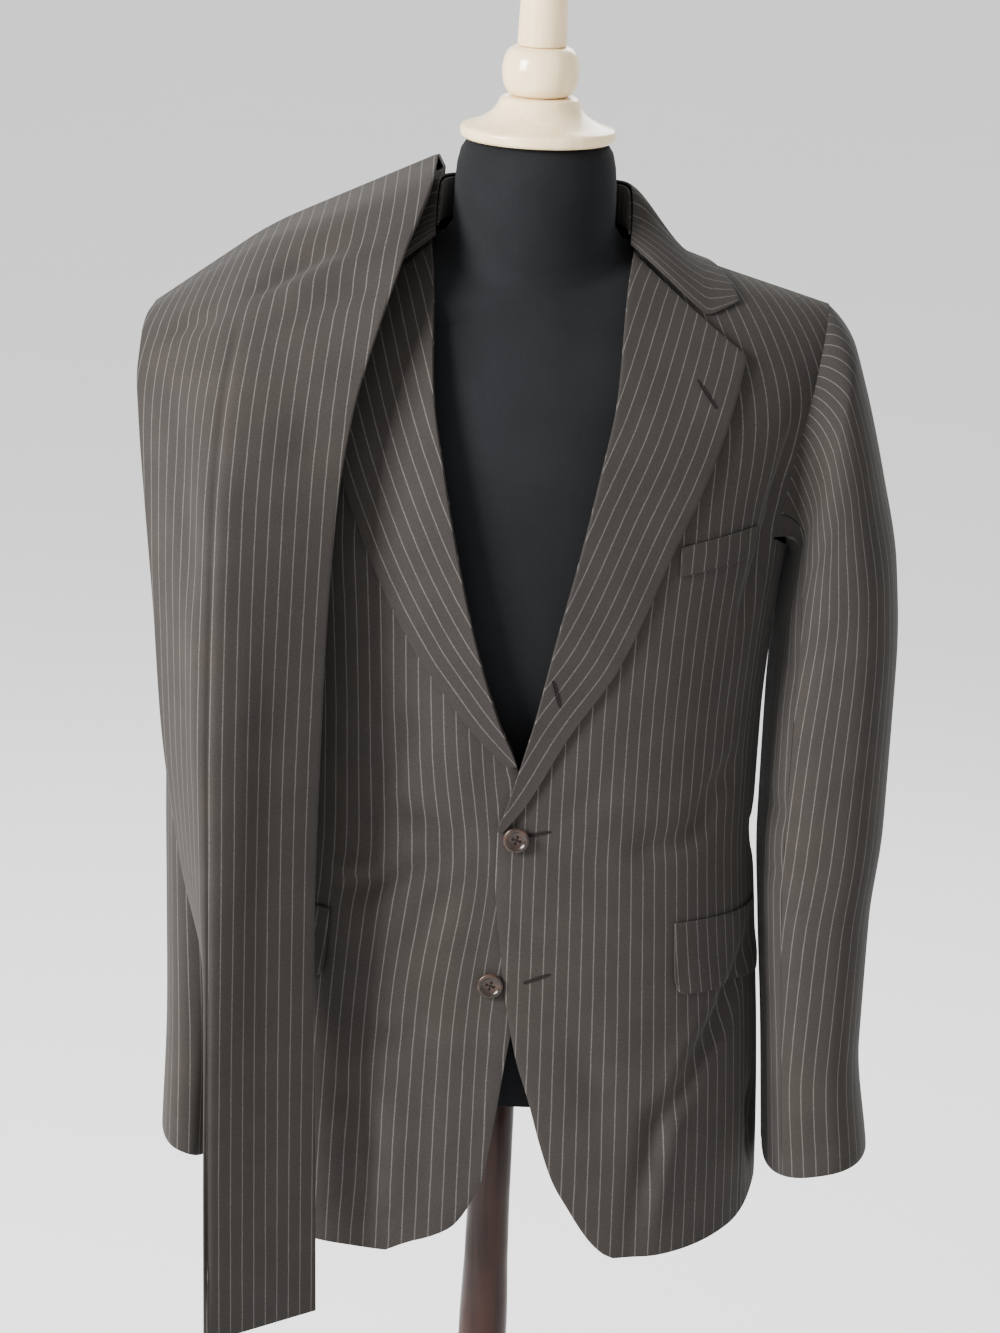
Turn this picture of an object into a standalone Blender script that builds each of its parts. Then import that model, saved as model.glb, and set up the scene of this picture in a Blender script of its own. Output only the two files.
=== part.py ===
"""Two-piece pinstripe suit on a limbless dress form: metres, +Z up, the chest faces -Y.

The jacket is worn by the form and buttoned at the waist.  The trousers are folded on their creases and hang
over the wearer's right shoulder.  Every cloth piece is a thin wall laid on a form worked out from the sizes
below, with a seam gap to its neighbour.
"""
import math

import bmesh
import bpy
from mathutils import Vector

# ---------------------------------------------------------------- driving dimensions
WALL = 0.0015            # thickness of one layer of the jacket's cloth
LEG_WALL = 0.0036        # thickness of one trouser leg pressed flat, two layers
SEAM = 0.0004            # gap left at a seam
LAY = 0.0005             # gap between a panel and what lies on it
ROUND = 0.8              # power of the torso's rounded-box section
CHEST_Z = 1.20           # height of the armhole's lowest point, where the shoulders start to close
TIP_X = 0.2185           # shoulder tip from the centre
TIP_Z = 1.3620
NECK_X = 0.0770          # shoulder seam's neck end from the centre
SLOPE = 0.29             # rise of the shoulder line towards the neck
RIDGE_Y = 0.0
RISE_POWER = 0.95
DEPTH_POWER = 1.2
TOP_W = 0.2350           # half width that the shoulder rows open to
SIDE_FRONT = math.radians(66.0)
SIDE_BACK = math.radians(116.0)
SEAM_TURN = 0.0030       # seam gap at the side seams, as an angle
BUTTON_D = 0.0195
BUTTON_H = 0.0042
CUFF_BUTTON_D = 0.0150
BASE_D = 0.44
BASE_H = 0.022
FORM_BOTTOM_Z = 0.760
ROWS_LOW = 11            # rows of a body panel from the hem to the chest
ROWS_HIGH = 8            # rows from the chest to the shoulder seam
CHEST_SHARE = ROWS_LOW / (ROWS_LOW + ROWS_HIGH)
HEM_CROWDING = 1.5
BACK_NECK_Y = 0.0530
SEAM_V = 0.0095          # what the shoulder seam leaves open, in the torso's level
NECK_TOP_Z = 1.4740
CENTRE_GAP = 0.0006      # seam gap at the centre back, as an angle
UNDER_TUCK = WALL + LAY + 0.0004    # how far the front that lies under is set back
LAPEL_SWELL = 0.0040     # how far the lapel rolls out at its fold
LAPEL_LAY = 0.0016
LEFT_LAPEL_LOW = 0.9855  # lower end of each lapel
RIGHT_LAPEL_LOW = 1.037
NOTCH_SHARE = 0.72       # where the notch comes across the collar's end
COLLAR_TIP = (0.1500, 1.3660)
COLLAR_LAY = WALL + LAY + 0.0008
STAND_START = 0.12       # where the stand starts, from the gorge towards the centre back
TOP_SLEEVE = (math.radians(-62.0), math.radians(128.0))
SLEEVE_SEAM = math.radians(1.25)
SLEEVE_ROUND = 0.78      # power of the sleeve's rounded-box ring
SETTING_ROWS = 1.3       # how many rings the sleeve takes to leave the armhole's shape
ARMHOLE_LOW_Z = 1.1840
ARMHOLE_GAP = 0.0009
BACK_TUCK = 0.12         # how far the sleeve's inner face leans in behind the body
FLAP_X = 0.1270
FLAP_END = math.radians(79.0)
FLAP_TOP_Z = 0.9130
FLAP_H = 0.0560
FLAP_W = 0.155
FLAP_CORNER = 0.012
WELT_ENDS = ((0.1150, 1.2055), (0.1700, 1.2160))
WELT_H = 0.0220
WAIST_BUTTON = (0.0080, 0.9800)     # across and up
LOW_BUTTON = (-0.0062, 0.8650)
CUFF_BUTTON_H = 0.0035
CUFF_BUTTONS = 4
CUFF_LAY = 0.00096
BUTTON_LAY = 0.0010
CUFF_TURN = math.radians(-42.0)
CUFF_FIRST_T = 0.957
CUFF_STEP_T = 0.020
DRAPE_SETTLE = 0.0024    # brings the trouser stack down on to the collar
BEND_AT = 0.5            # where the stack's ridge comes across it
BEND_SWAY = 0.035
KNEE = 0.10              # how much of the stack the ridge's curve takes up on each side
UNDER_RISE = (0.18, 0.28)           # where the second leg starts to widen, and over how much
UNDER_EDGE_INSET = 0.03
FORM_DROP = 0.0033       # the form's shoulders under the jacket's outer face
FORM_RELIEF = 0.0040     # more room away from the shoulder line, which alone carries the jacket
FORM_TOP_W = 0.2030
FORM_SHARES = (0.45, 0.60, 0.86)    # shares of the rings at the chest, the shoulder and the neck's foot
FORM_RINGS = 18
FORM_AROUND = 28
NECK_HALF = 0.0585
NECK_DEPTH = 0.0560
NECK_Y = -0.0120
NECK_FILLET = 0.0020
NECK_SHRINK = 0.22       # how far the neck draws in at its top
CLOSING_LEVEL = 0.50     # the torso's level where the shoulder rings start to close in to the neck
POLE_TOP_Z = 1.6300

# Torso of the jacket: half width at the side, depth of the front and of the back, at each height.
TORSO = ("z", "half_width", "front", "back"), (
    (0.640, 0.2070, 0.124, 0.120),
    (0.720, 0.2045, 0.124, 0.120),
    (0.800, 0.2000, 0.121, 0.118),
    (0.900, 0.1920, 0.117, 0.111),
    (0.980, 0.1865, 0.117, 0.107),
    (1.050, 0.1870, 0.122, 0.109),
    (1.130, 0.1915, 0.130, 0.116),
    (1.200, 0.1985, 0.134, 0.123),
    (1.300, 0.2050, 0.134, 0.125),
)
# Body of the form: the same columns, slimmer.
FORM = ("z", "half_width", "front", "back"), (
    (0.760, 0.1620, 0.098, 0.098),
    (0.860, 0.1720, 0.104, 0.104),
    (0.960, 0.1640, 0.100, 0.094),
    (1.040, 0.1640, 0.104, 0.094),
    (1.130, 0.1760, 0.116, 0.103),
    (1.200, 0.1840, 0.121, 0.111),
    (1.300, 0.1860, 0.121, 0.113),
)
# Hem height against the angle from the centre front.
HEM = ("degrees", "z"), (
    (0.0, 0.648), (30.0, 0.648), (60.0, 0.660), (90.0, 0.684), (130.0, 0.690), (180.0, 0.690),
)
# Front edge of the lapping front, from the hem to the neck end of the shoulder seam.
FRONT_EDGE = ("z", "x"), (
    (0.646, 0.1000), (0.652, 0.0880), (0.664, 0.0760), (0.690, 0.0590), (0.712, 0.0465), (0.743, 0.0355),
    (0.777, 0.0255), (0.809, 0.0150), (0.857, 0.0050), (0.894, 0.0000), (0.950, -0.0060), (0.985, -0.0060),
    (1.000, -0.0010), (1.040, 0.0095), (1.070, 0.0170), (1.130, 0.0290), (1.197, 0.0435), (1.254, 0.0547),
    (1.309, 0.0647), (1.376, 0.0690), (1.410, 0.0750),
)
# Front edge of the front that lies under, measured from the centre towards its own side.
UNDER_EDGE = ("z", "x"), (
    (0.646, 0.0800), (0.657, 0.0576), (0.662, 0.0434), (0.672, 0.0258), (0.692, 0.0130), (0.716, 0.0043),
    (0.760, -0.0021), (0.805, -0.0076), (0.850, -0.0140), (0.950, -0.0190), (0.985, -0.0190),
    (1.000, -0.0150), (1.040, -0.0050), (1.070, 0.0080), (1.130, 0.0270), (1.197, 0.0430), (1.254, 0.0547),
    (1.309, 0.0647), (1.376, 0.0690), (1.410, 0.0750),
)
# Free edge of the lapel, from its lower end to its upper corner.
LAPEL_EDGE = ("z", "x"), (
    (0.985, -0.0020), (1.005, 0.0126), (1.063, 0.0430), (1.117, 0.0760), (1.206, 0.1109),
    (1.258, 0.1323), (1.312, 0.1493), (1.332, 0.1540),
)
# The same edge on the other front, which runs under the lapping front's lapel.
UNDER_LAPEL_EDGE = ("z", "x"), (
    (1.036, 0.0010), (1.047, 0.0125), (1.066, 0.0300), (1.090, 0.0480), (1.120, 0.0690), (1.170, 0.0960),
    (1.213, 0.1150), (1.258, 0.1323), (1.312, 0.1493), (1.332, 0.1540),
)
# Armhole edge of the front and back panels.
ARMHOLE = ("z", "x"), (
    (1.200, 0.1860), (1.225, 0.1900), (1.266, 0.1980), (1.323, 0.2100), (1.350, 0.2160), (1.370, 0.2185),
)
# Sleeve rings: outer and inner point of each ring, half depth front to back and forward shift.
SLEEVE = ("outer_x", "outer_z", "inner_x", "inner_z", "half_depth", "shift_y"), (
    (0.2225, 1.3600, 0.2040, 1.1920, 0.0640, 0.000),
    (0.2350, 1.3420, 0.2020, 1.1800, 0.0720, -0.001),
    (0.2475, 1.3060, 0.1990, 1.1640, 0.0780, -0.003),
    (0.2640, 1.2450, 0.1960, 1.1400, 0.0810, -0.005),
    (0.2790, 1.1750, 0.1945, 1.1050, 0.0820, -0.007),
    (0.2840, 1.1000, 0.1925, 1.0600, 0.0810, -0.009),
    (0.2835, 0.9800, 0.1920, 0.9600, 0.0770, -0.012),
    (0.2780, 0.9000, 0.1965, 0.8850, 0.0740, -0.014),
    (0.2775, 0.8050, 0.2040, 0.7950, 0.0700, -0.016),
    (0.2890, 0.7160, 0.2100, 0.7000, 0.0660, -0.017),
)
# Under the trousers the sleeve is pressed narrower: its outer points lie closer in.
PRESSED_OUTER = (0.2220, 0.2315, 0.2400, 0.2480, 0.2550, 0.2570, 0.2560, 0.2540, 0.2520, 0.2540)
PRESSED_DEEPER = 0.010
# Collar, gorge to centre back: roll edge and free edge of the fall in plan, and how high the roll stands up.
COLLAR = ("roll_x", "roll_y", "stand", "fall_x", "fall_y"), (
    (0.0700, -0.0320, 0.005, 0.1500, -0.0370),
    (0.0710, -0.0160, 0.018, 0.1380, -0.0140),
    (0.0700, 0.0000, 0.031, 0.1240, 0.0060),
    (0.0630, 0.0240, 0.038, 0.0990, 0.0360),
    (0.0440, 0.0420, 0.042, 0.0650, 0.0570),
    (0.0000, 0.0520, 0.043, 0.0000, 0.0680),
)
NOTCH = (0.1275, 1.3580)     # inner corner of the lapel notch, across and up
GORGE = (0.0700, 1.3960)     # where the gorge seam meets the roll line
LAPEL_CORNER = (0.1540, 1.3340)
STAND_INSET = 0.0027
STAND_FOOT_Z = 1.4100
# Trouser stack, outer face: neck-side edge, the ridge where it bends, and the arm-side edge, hem to waist.
DRAPE = ("r_x", "r_y", "r_z", "k_x", "k_y", "k_z", "l_x", "l_y", "l_z"), (
    (-0.1250, -0.1480, 0.612, -0.2070, -0.1960, 0.604, -0.1990, -0.1740, 0.606),
    (-0.1290, -0.1480, 0.740, -0.2100, -0.1950, 0.740, -0.2030, -0.1660, 0.740),
    (-0.1330, -0.1480, 0.850, -0.2115, -0.1930, 0.850, -0.2090, -0.1480, 0.850),
    (-0.1350, -0.1480, 0.960, -0.2125, -0.1920, 0.960, -0.2360, -0.1300, 0.960),
    (-0.1340, -0.1500, 1.060, -0.2145, -0.1880, 1.060, -0.2520, -0.1250, 1.060),
    (-0.1320, -0.1530, 1.150, -0.2150, -0.1840, 1.150, -0.2600, -0.1200, 1.150),
    (-0.1280, -0.1520, 1.230, -0.2150, -0.1740, 1.225, -0.2690, -0.1060, 1.225),
    (-0.1190, -0.1420, 1.300, -0.2130, -0.1500, 1.290, -0.2760, -0.0860, 1.278),
    (-0.1040, -0.1200, 1.358, -0.2080, -0.1120, 1.340, -0.2800, -0.0600, 1.308),
    (-0.0880, -0.0820, 1.408, -0.2000, -0.0680, 1.378, -0.2800, -0.0300, 1.330),
    (-0.0740, -0.0300, 1.446, -0.1940, -0.0200, 1.397, -0.2780, 0.0000, 1.338),
    (-0.0720, 0.0200, 1.458, -0.1920, 0.0300, 1.400, -0.2770, 0.0300, 1.338),
)
SEAT = ("r_x", "r_y", "r_z", "k_x", "k_y", "k_z", "l_x", "l_y", "l_z"), (
    (-0.0720, 0.0226, 1.4582, -0.1920, 0.0326, 1.4002, -0.2770, 0.0326, 1.3382),
    (-0.0720, 0.0800, 1.4480, -0.1900, 0.0850, 1.3800, -0.2770, 0.0750, 1.3170),
    (-0.0740, 0.1300, 1.4040, -0.1880, 0.1260, 1.3400, -0.2780, 0.1080, 1.2800),
    (-0.0780, 0.1500, 1.3300, -0.1880, 0.1450, 1.2800, -0.2790, 0.1260, 1.2300),
    (-0.0820, 0.1540, 1.2500, -0.1890, 0.1500, 1.2200, -0.2790, 0.1330, 1.1900),
)
BAND = ("r_x", "r_y", "r_z", "k_x", "k_y", "k_z", "l_x", "l_y", "l_z"), (
    (-0.0822, 0.1542, 1.2480, -0.1892, 0.1502, 1.2180, -0.2790, 0.1332, 1.1880),
    (-0.0850, 0.1550, 1.2080, -0.1900, 0.1510, 1.1780, -0.2790, 0.1345, 1.1480),
)
SEAT_WALL = 0.0125       # four hidden layers and the folds between them
BAND_WALL = 0.0135
UNDER_LEG_WALL = 0.0080  # the second leg and what is folded in behind it
UNDER_LOW = 0.37         # how far across the stack the second leg reaches at the hem and at the shoulder
UNDER_HIGH = 0.96
LEG_GAP = 0.0008         # air between the two legs


# ---------------------------------------------------------------- tables and curves
def clamp(value, low=0.0, high=1.0):
    return max(low, min(high, value))


def ease(t):
    t = clamp(t)
    return t * t * (3.0 - 2.0 * t)


def column(table, name):
    names, rows = table
    return [row[names.index(name)] for row in rows]


def along(keys, values, at):
    """Smooth curve through (key, value) pairs that never overshoots them."""
    if at <= keys[0]:
        return values[0]
    if at >= keys[-1]:
        return values[-1]
    slopes = [(values[i + 1] - values[i]) / (keys[i + 1] - keys[i]) for i in range(len(keys) - 1)]

    def tangent(i):
        if i == 0:
            return slopes[0]
        if i == len(slopes):
            return slopes[-1]
        before, after = slopes[i - 1], slopes[i]
        return 0.0 if before * after <= 0.0 else 2.0 * before * after / (before + after)

    i = max(k for k in range(len(slopes)) if keys[k] <= at)
    span = keys[i + 1] - keys[i]
    t = (at - keys[i]) / span
    a, b = tangent(i) * span, tangent(i + 1) * span
    rise = values[i + 1] - values[i]
    return values[i] + t * (a + t * (3.0 * rise - 2.0 * a - b + t * (a + b - 2.0 * rise)))


def look_up(table, key, name, at):
    return along(column(table, key), column(table, name), at)


def table_row(table, share):
    """Every column of a table at a share of the way down its rows."""
    names, rows = table
    keys = list(range(len(rows)))
    return {name: along(keys, column(table, name), share * (len(rows) - 1)) for name in names}


# ---------------------------------------------------------------- the torso that the jacket lies on
def ridge_z(x):
    """Height of the shoulder line at a distance from the centre."""
    return TIP_Z + SLOPE * (TIP_X - abs(x))


def signed_power(value, power):
    return math.copysign(abs(value) ** power, value)


def section(table, angle, z, width=None):
    """Plan point of the torso at an angle from the centre front, which may be a little negative."""
    half = look_up(table, "z", "half_width", z) if width is None else width
    depth = look_up(table, "z", "front" if math.cos(angle) > 0.0 else "back", z)
    return half * signed_power(math.sin(angle), ROUND), -depth * signed_power(math.cos(angle), ROUND)


def torso(angle, v, table=TORSO, top_width=TOP_W, drop=0.0):
    """Point at an angle from the centre front; v is a height to CHEST_Z, then runs on by 1 to the ridge."""
    if v <= CHEST_Z:
        x, y = section(table, angle, v)
        return x, y, v
    lift = math.radians(90.0) * clamp(v - CHEST_Z)
    start = look_up(table, "z", "half_width", CHEST_Z)
    rise = math.sin(lift) ** RISE_POWER
    width = start + (top_width - start) * ease(1.25 * rise)
    x, y = section(table, angle, CHEST_Z + 0.1 * rise, width)
    z = CHEST_Z + (ridge_z(x) - drop - CHEST_Z) * rise
    return x, RIDGE_Y + (y - RIDGE_Y) * max(math.cos(lift), 0.0) ** DEPTH_POWER, z


def bisect(grows, target, low, high):
    for _ in range(26):
        middle = 0.5 * (low + high)
        if grows(middle) < target:
            low = middle
        else:
            high = middle
    return low


def angle_at(x, v):
    """Angle on the front of the torso at a distance from the centre, which may be negative."""
    return math.copysign(bisect(lambda angle: torso(angle, v)[0], abs(x), 0.0, math.radians(90.0)), x)


def level(z, x):
    """The torso's v for a height z at a distance x from the centre."""
    if z <= CHEST_Z:
        return z
    share = clamp((z - CHEST_Z) / (ridge_z(x) - CHEST_Z))
    return CHEST_Z + math.asin(share ** (1.0 / RISE_POWER)) / math.radians(90.0)


def level_at_depth(x, depth, back):
    """The torso's v where the shoulder has this depth from the ridge at a distance x from the centre."""
    def nearness(v):
        angle = angle_at(x, v)
        return -abs(torso(math.pi - angle if back else angle, v)[1] - RIDGE_Y)
    return bisect(nearness, -abs(depth), CHEST_Z, CHEST_Z + 1.0)


def off_torso(angle, v, out):
    """Torso point moved out along the surface's normal."""
    point = torso(angle, v)
    if out == 0.0:
        return point
    d = 0.004
    around = difference(torso(angle + d, v), torso(angle - d, v))
    up = difference(torso(angle, min(v + d, CHEST_Z + 0.999)), torso(angle, v - d))
    normal = unit(cross(around, up))
    return tuple(p + out * n for p, n in zip(point, normal))


def on_front(x, z, out=0.0):
    v = level(z, x)
    return off_torso(angle_at(x, v), v, out)


def on_shoulder(x, y, out=0.0):
    """Point of the shoulder over a plan position, raised by a distance."""
    v = level_at_depth(x, y - RIDGE_Y, y > RIDGE_Y)
    angle = angle_at(x, v)
    return x, y, torso(math.pi - angle if y > RIDGE_Y else angle, v)[2] + out


def difference(a, b):
    return a[0] - b[0], a[1] - b[1], a[2] - b[2]


def cross(a, b):
    return a[1] * b[2] - a[2] * b[1], a[2] * b[0] - a[0] * b[2], a[0] * b[1] - a[1] * b[0]


def unit(a):
    size = math.sqrt(sum(c * c for c in a)) or 1.0
    return tuple(c / size for c in a)


def mix(a, b, t):
    return tuple(p + (q - p) * t for p, q in zip(a, b))


# ---------------------------------------------------------------- objects
SUIT = bpy.data.collections.new("two_piece_suit")


def start_empty_scene():
    for old in list(bpy.data.objects):
        bpy.data.objects.remove(old)
    bpy.context.scene.collection.children.link(SUIT)


def material(name, colour, roughness, metallic=0.0):
    made = bpy.data.materials.new(name)
    made.use_nodes = True
    shader = made.node_tree.nodes["Principled BSDF"]
    shader.inputs["Base Color"].default_value = (*colour, 1.0)
    shader.inputs["Roughness"].default_value = roughness
    shader.inputs["Metallic"].default_value = metallic
    return made


def add_object(name, mesh, finish, smooth_angle=None):
    made = bpy.data.objects.new(name, mesh)
    SUIT.objects.link(made)
    mesh.materials.append(finish)
    if smooth_angle is not None:
        mesh.shade_smooth()
        mesh.set_sharp_from_angle(angle=math.radians(smooth_angle))
    return made


def mesh_of(name, bm):
    mesh = bpy.data.meshes.new(name)
    bm.to_mesh(mesh)
    bm.free()
    return mesh


def cloth(name, finish, columns, rows, place, wall=WALL, mirrored=False):
    """A grid of cloth laid on place(s, t), both 0 to 1, with a wall inside it; a mirrored one is at -X."""
    bm = bmesh.new()
    bmesh.ops.create_grid(bm, x_segments=columns, y_segments=rows, size=0.5)
    for vertex in bm.verts:
        x, y, z = place(vertex.co.x + 0.5, vertex.co.y + 0.5)
        vertex.co = (-x if mirrored else x, y, z)
    if mirrored:
        bmesh.ops.reverse_faces(bm, faces=bm.faces)
    made = add_object(name, mesh_of(name, bm), finish, 40.0)
    shell = made.modifiers.new("wall", "SOLIDIFY")
    shell.thickness = wall
    shell.offset = -1.0
    return made


def turned(name, finish, profile, place=(0.0, 0.0, 0.0), sides=32, turn=None):
    """(radius, height) pairs, top to bottom down the outer side, turned about the upright axis."""
    bm = bmesh.new()
    points = [bm.verts.new((radius, 0.0, height)) for radius, height in profile]
    for a, b in zip(points, points[1:]):
        bm.edges.new((a, b))
    made = add_object(name, mesh_of(name, bm), finish, 35.0)
    screw = made.modifiers.new("turn", "SCREW")
    screw.steps = sides
    screw.render_steps = sides
    screw.use_merge_vertices = True
    screw.merge_threshold = 0.00001
    made.location = place
    if turn is not None:
        made.rotation_mode = "QUATERNION"
        made.rotation_quaternion = turn
    return made


# ---------------------------------------------------------------- jacket body
def edge_x(table, v, x=0.07):
    """Distance from the centre of an edge curve at the torso's level v above the chest."""
    for _ in range(12):
        x = look_up(table, "z", "x", torso(angle_at(x, v), v)[2])
    return x


def low_share(t):
    """Share of the height up to the chest, with the rows closer together at the hem."""
    return (t / CHEST_SHARE) ** HEM_CROWDING


def panel_level(t, low):
    if t <= CHEST_SHARE:
        return low + (CHEST_Z - low) * low_share(t)
    return CHEST_Z + (t - CHEST_SHARE) / (1.0 - CHEST_SHARE)


def hem_z(angle):
    return look_up(HEM, "degrees", "z", math.degrees(abs(angle)))


def front_point(s, t, edge, tuck):
    """Point of a front: s from its edge to the side seam or armhole, t from the hem to the shoulder seam."""
    v = panel_level(t, hem_z(0.0))
    if v <= CHEST_Z:
        start = angle_at(look_up(edge, "z", "x", v), v)
        end = SIDE_FRONT
    else:
        start = angle_at(edge_x(edge, v), v)
        end = min(angle_at(edge_x(ARMHOLE, v, 0.2), v), SIDE_FRONT + math.radians(8.0))
    end -= SEAM_TURN
    angle = start + (end - start) * s
    v = panel_level(t, hem_z(angle))
    v = min(v, CHEST_Z + 1.0 - SEAM_V)
    x = torso(angle, v)[0]
    return off_torso(angle, v, -tuck * (1.0 - ease((x - 0.010) / 0.030)) if v < CHEST_Z else 0.0)


def side_point(s, t):
    """The side body, from the front seam to the back seam, up to the bottom of the armhole."""
    angle = SIDE_FRONT + (SIDE_BACK - SIDE_FRONT) * s
    low = hem_z(angle)
    dip = math.sin(math.pi * s)
    return torso(angle, low + (CHEST_Z - 0.002 - 0.016 * dip - low) * low_share(t * CHEST_SHARE))


def neckline_level(x):
    depth = BACK_NECK_Y * math.sqrt(max(1.0 - (x / NECK_X) ** 2, 0.0))
    return level_at_depth(x, depth, True)


def back_point(s, t):
    """Half of the back: s from the centre seam to the side seam or armhole, t from hem to shoulder."""
    v = panel_level(t, hem_z(math.pi))
    outer = SIDE_BACK
    if v > CHEST_Z:
        outer = math.pi - min(angle_at(edge_x(ARMHOLE, v, 0.2), v), math.pi - SIDE_BACK + math.radians(6.0))
    outer += SEAM_TURN
    centre = math.pi - CENTRE_GAP
    angle = centre + (outer - centre) * s
    top = CHEST_Z + 1.0 - SEAM_V
    across = torso(angle, top)[0]
    if across < NECK_X:
        top = min(top, neckline_level(max(across, 0.0005)))
    low = hem_z(angle)
    if t <= CHEST_SHARE:
        return torso(angle, low + (CHEST_Z - low) * low_share(t))
    return torso(angle, CHEST_Z + (top - CHEST_Z) * (t - CHEST_SHARE) / (1.0 - CHEST_SHARE))


def make_jacket_body(wool):
    rows = ROWS_LOW + ROWS_HIGH
    cloth("front_left", wool, 10, rows, lambda s, t: front_point(s, t, FRONT_EDGE, 0.0))
    cloth("front_right", wool, 10, rows,
          lambda s, t: front_point(s, t, UNDER_EDGE, UNDER_TUCK), mirrored=True)
    for side, mirrored in (("left", False), ("right", True)):
        cloth(f"side_body_{side}", wool, 6, ROWS_LOW, side_point, mirrored=mirrored)
        cloth(f"back_{side}", wool, 8, rows, lambda s, t: back_point(1.0 - s, t), mirrored=mirrored)


# ---------------------------------------------------------------- lapels and collar
def lapel_point(s, t, roll, free, low):
    """The lapel, folded out over the front: s from the roll to the free edge, t from bottom to gorge."""
    roll_z = low + (GORGE[1] - low) * t
    free_z = low + (LAPEL_CORNER[1] - low) * t
    roll_x = look_up(roll, "z", "x", roll_z)
    free_x = look_up(free, "z", "x", free_z)
    x = roll_x + (free_x - roll_x) * s
    z = roll_z + (free_z - roll_z) * s
    swell = LAPEL_SWELL * math.sin(math.pi * clamp(t)) ** 0.7 * (1.0 - s) ** 1.5
    return on_front(x, z, WALL + LAPEL_LAY + swell)


def collar_row(position):
    """Roll edge, free edge and stand height of the collar at 0, the gorge, to 1, the centre back."""
    return table_row(COLLAR, position)


def collar_point(s, c):
    """The collar's fall: s from the roll to the free edge, c from one gorge round the back to the other."""
    side = -1.0 if c > 0.5 else 1.0
    position = 1.0 - abs(2.0 * c - 1.0)
    row = collar_row(position)
    x = row["roll_x"] + (row["fall_x"] - row["roll_x"]) * s
    y = row["roll_y"] + (row["fall_y"] - row["roll_y"]) * s
    gorge = 1.0 - ease(position / 0.2)
    if gorge > 0.0:
        share = s / NOTCH_SHARE if s < NOTCH_SHARE else (s - NOTCH_SHARE) / (1.0 - NOTCH_SHARE)
        a, b = (GORGE, NOTCH) if s < NOTCH_SHARE else (NOTCH, COLLAR_TIP)
        gorge_x = a[0] + (b[0] - a[0]) * share
        gorge_z = a[1] + (b[1] - a[1]) * share + SEAM
        seam_point = on_front(gorge_x, gorge_z)
        x, y = x + (seam_point[0] - x) * gorge, y + (seam_point[1] - y) * gorge
    lift = row["stand"] * (1.0 - ease(s / 0.8)) + COLLAR_LAY
    x, y, z = on_shoulder(max(x, 0.0005), y, lift)
    return side * x, y, z


def stand_point(s, c):
    """The collar's stand, inside the fall: s from the roll down to its foot."""
    side = -1.0 if c > 0.5 else 1.0
    position = STAND_START + (1.0 - STAND_START) * (1.0 - abs(2.0 * c - 1.0))
    row = collar_row(position)
    away = math.hypot(row["roll_x"], row["roll_y"])
    inset = 1.0 - STAND_INSET / away
    top = on_shoulder(max(row["roll_x"], 0.0005), row["roll_y"], row["stand"])[2]
    return side * row["roll_x"] * inset, row["roll_y"] * inset, top + (STAND_FOOT_Z - top) * s


def make_lapels_and_collar(wool):
    cloth("lapel_left", wool, 5, 13, lambda s, t: lapel_point(s, t, FRONT_EDGE, LAPEL_EDGE, LEFT_LAPEL_LOW))
    cloth("lapel_right", wool, 5, 12,
          lambda s, t: lapel_point(s, t, UNDER_EDGE, UNDER_LAPEL_EDGE, RIGHT_LAPEL_LOW), mirrored=True)
    cloth("collar_fall", wool, 6, 26, collar_point)
    cloth("collar_stand", wool, 2, 24, lambda s, t: stand_point(1.0 - s, t))


# ---------------------------------------------------------------- sleeves
def sleeve_row(t, pressed):
    row = table_row(SLEEVE, t)
    at = t * (len(SLEEVE[1]) - 1)
    if pressed:
        row["outer_x"] = along(list(range(len(PRESSED_OUTER))), list(PRESSED_OUTER), at)
        row["half_depth"] += PRESSED_DEEPER * ease(at / 3.0)
    return row


def armhole_point(turn):
    """Where the sleeve is set in: 0 at the shoulder tip, 90 degrees in front, 180 under the arm."""
    middle, half = 0.5 * (TIP_Z + ARMHOLE_LOW_Z), 0.5 * (TIP_Z - ARMHOLE_LOW_Z)
    z = middle + half * math.cos(turn)
    front = math.sin(turn) >= 0.0
    if z > CHEST_Z:
        x = look_up(ARMHOLE, "z", "x", z)
        v = min(level(z, x), CHEST_Z + 1.0 - SEAM_V)
        angle = angle_at(x, v)
        x, y, z = torso(angle if front else math.pi - angle, v)
    else:
        share = clamp((CHEST_Z - z) / (CHEST_Z - ARMHOLE_LOW_Z)) ** 0.5
        start = SIDE_FRONT if front else SIDE_BACK
        x, y, _ = torso(start + (math.radians(90.0) - start) * share, CHEST_Z)
    return x + ARMHOLE_GAP, y, z


def sleeve_point(turn, t, pressed):
    """The sleeve at a turn about its length (0 outside, 90 degrees in front) and t from armhole to cuff."""
    row = sleeve_row(t, pressed)
    across = signed_power(math.cos(turn), SLEEVE_ROUND)
    x = 0.5 * (row["outer_x"] + row["inner_x"]) + 0.5 * (row["outer_x"] - row["inner_x"]) * across
    z = 0.5 * (row["outer_z"] + row["inner_z"]) + 0.5 * (row["outer_z"] - row["inner_z"]) * across
    y = row["shift_y"] - row["half_depth"] * signed_power(math.sin(turn), SLEEVE_ROUND)
    x -= BACK_TUCK * max(y, 0.0) * 0.5 * (1.0 - across)
    setting = ease(t * (len(SLEEVE[1]) - 1) / SETTING_ROWS)
    return (x, y, z) if setting >= 1.0 else mix(armhole_point(turn), (x, y, z), setting)


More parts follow.
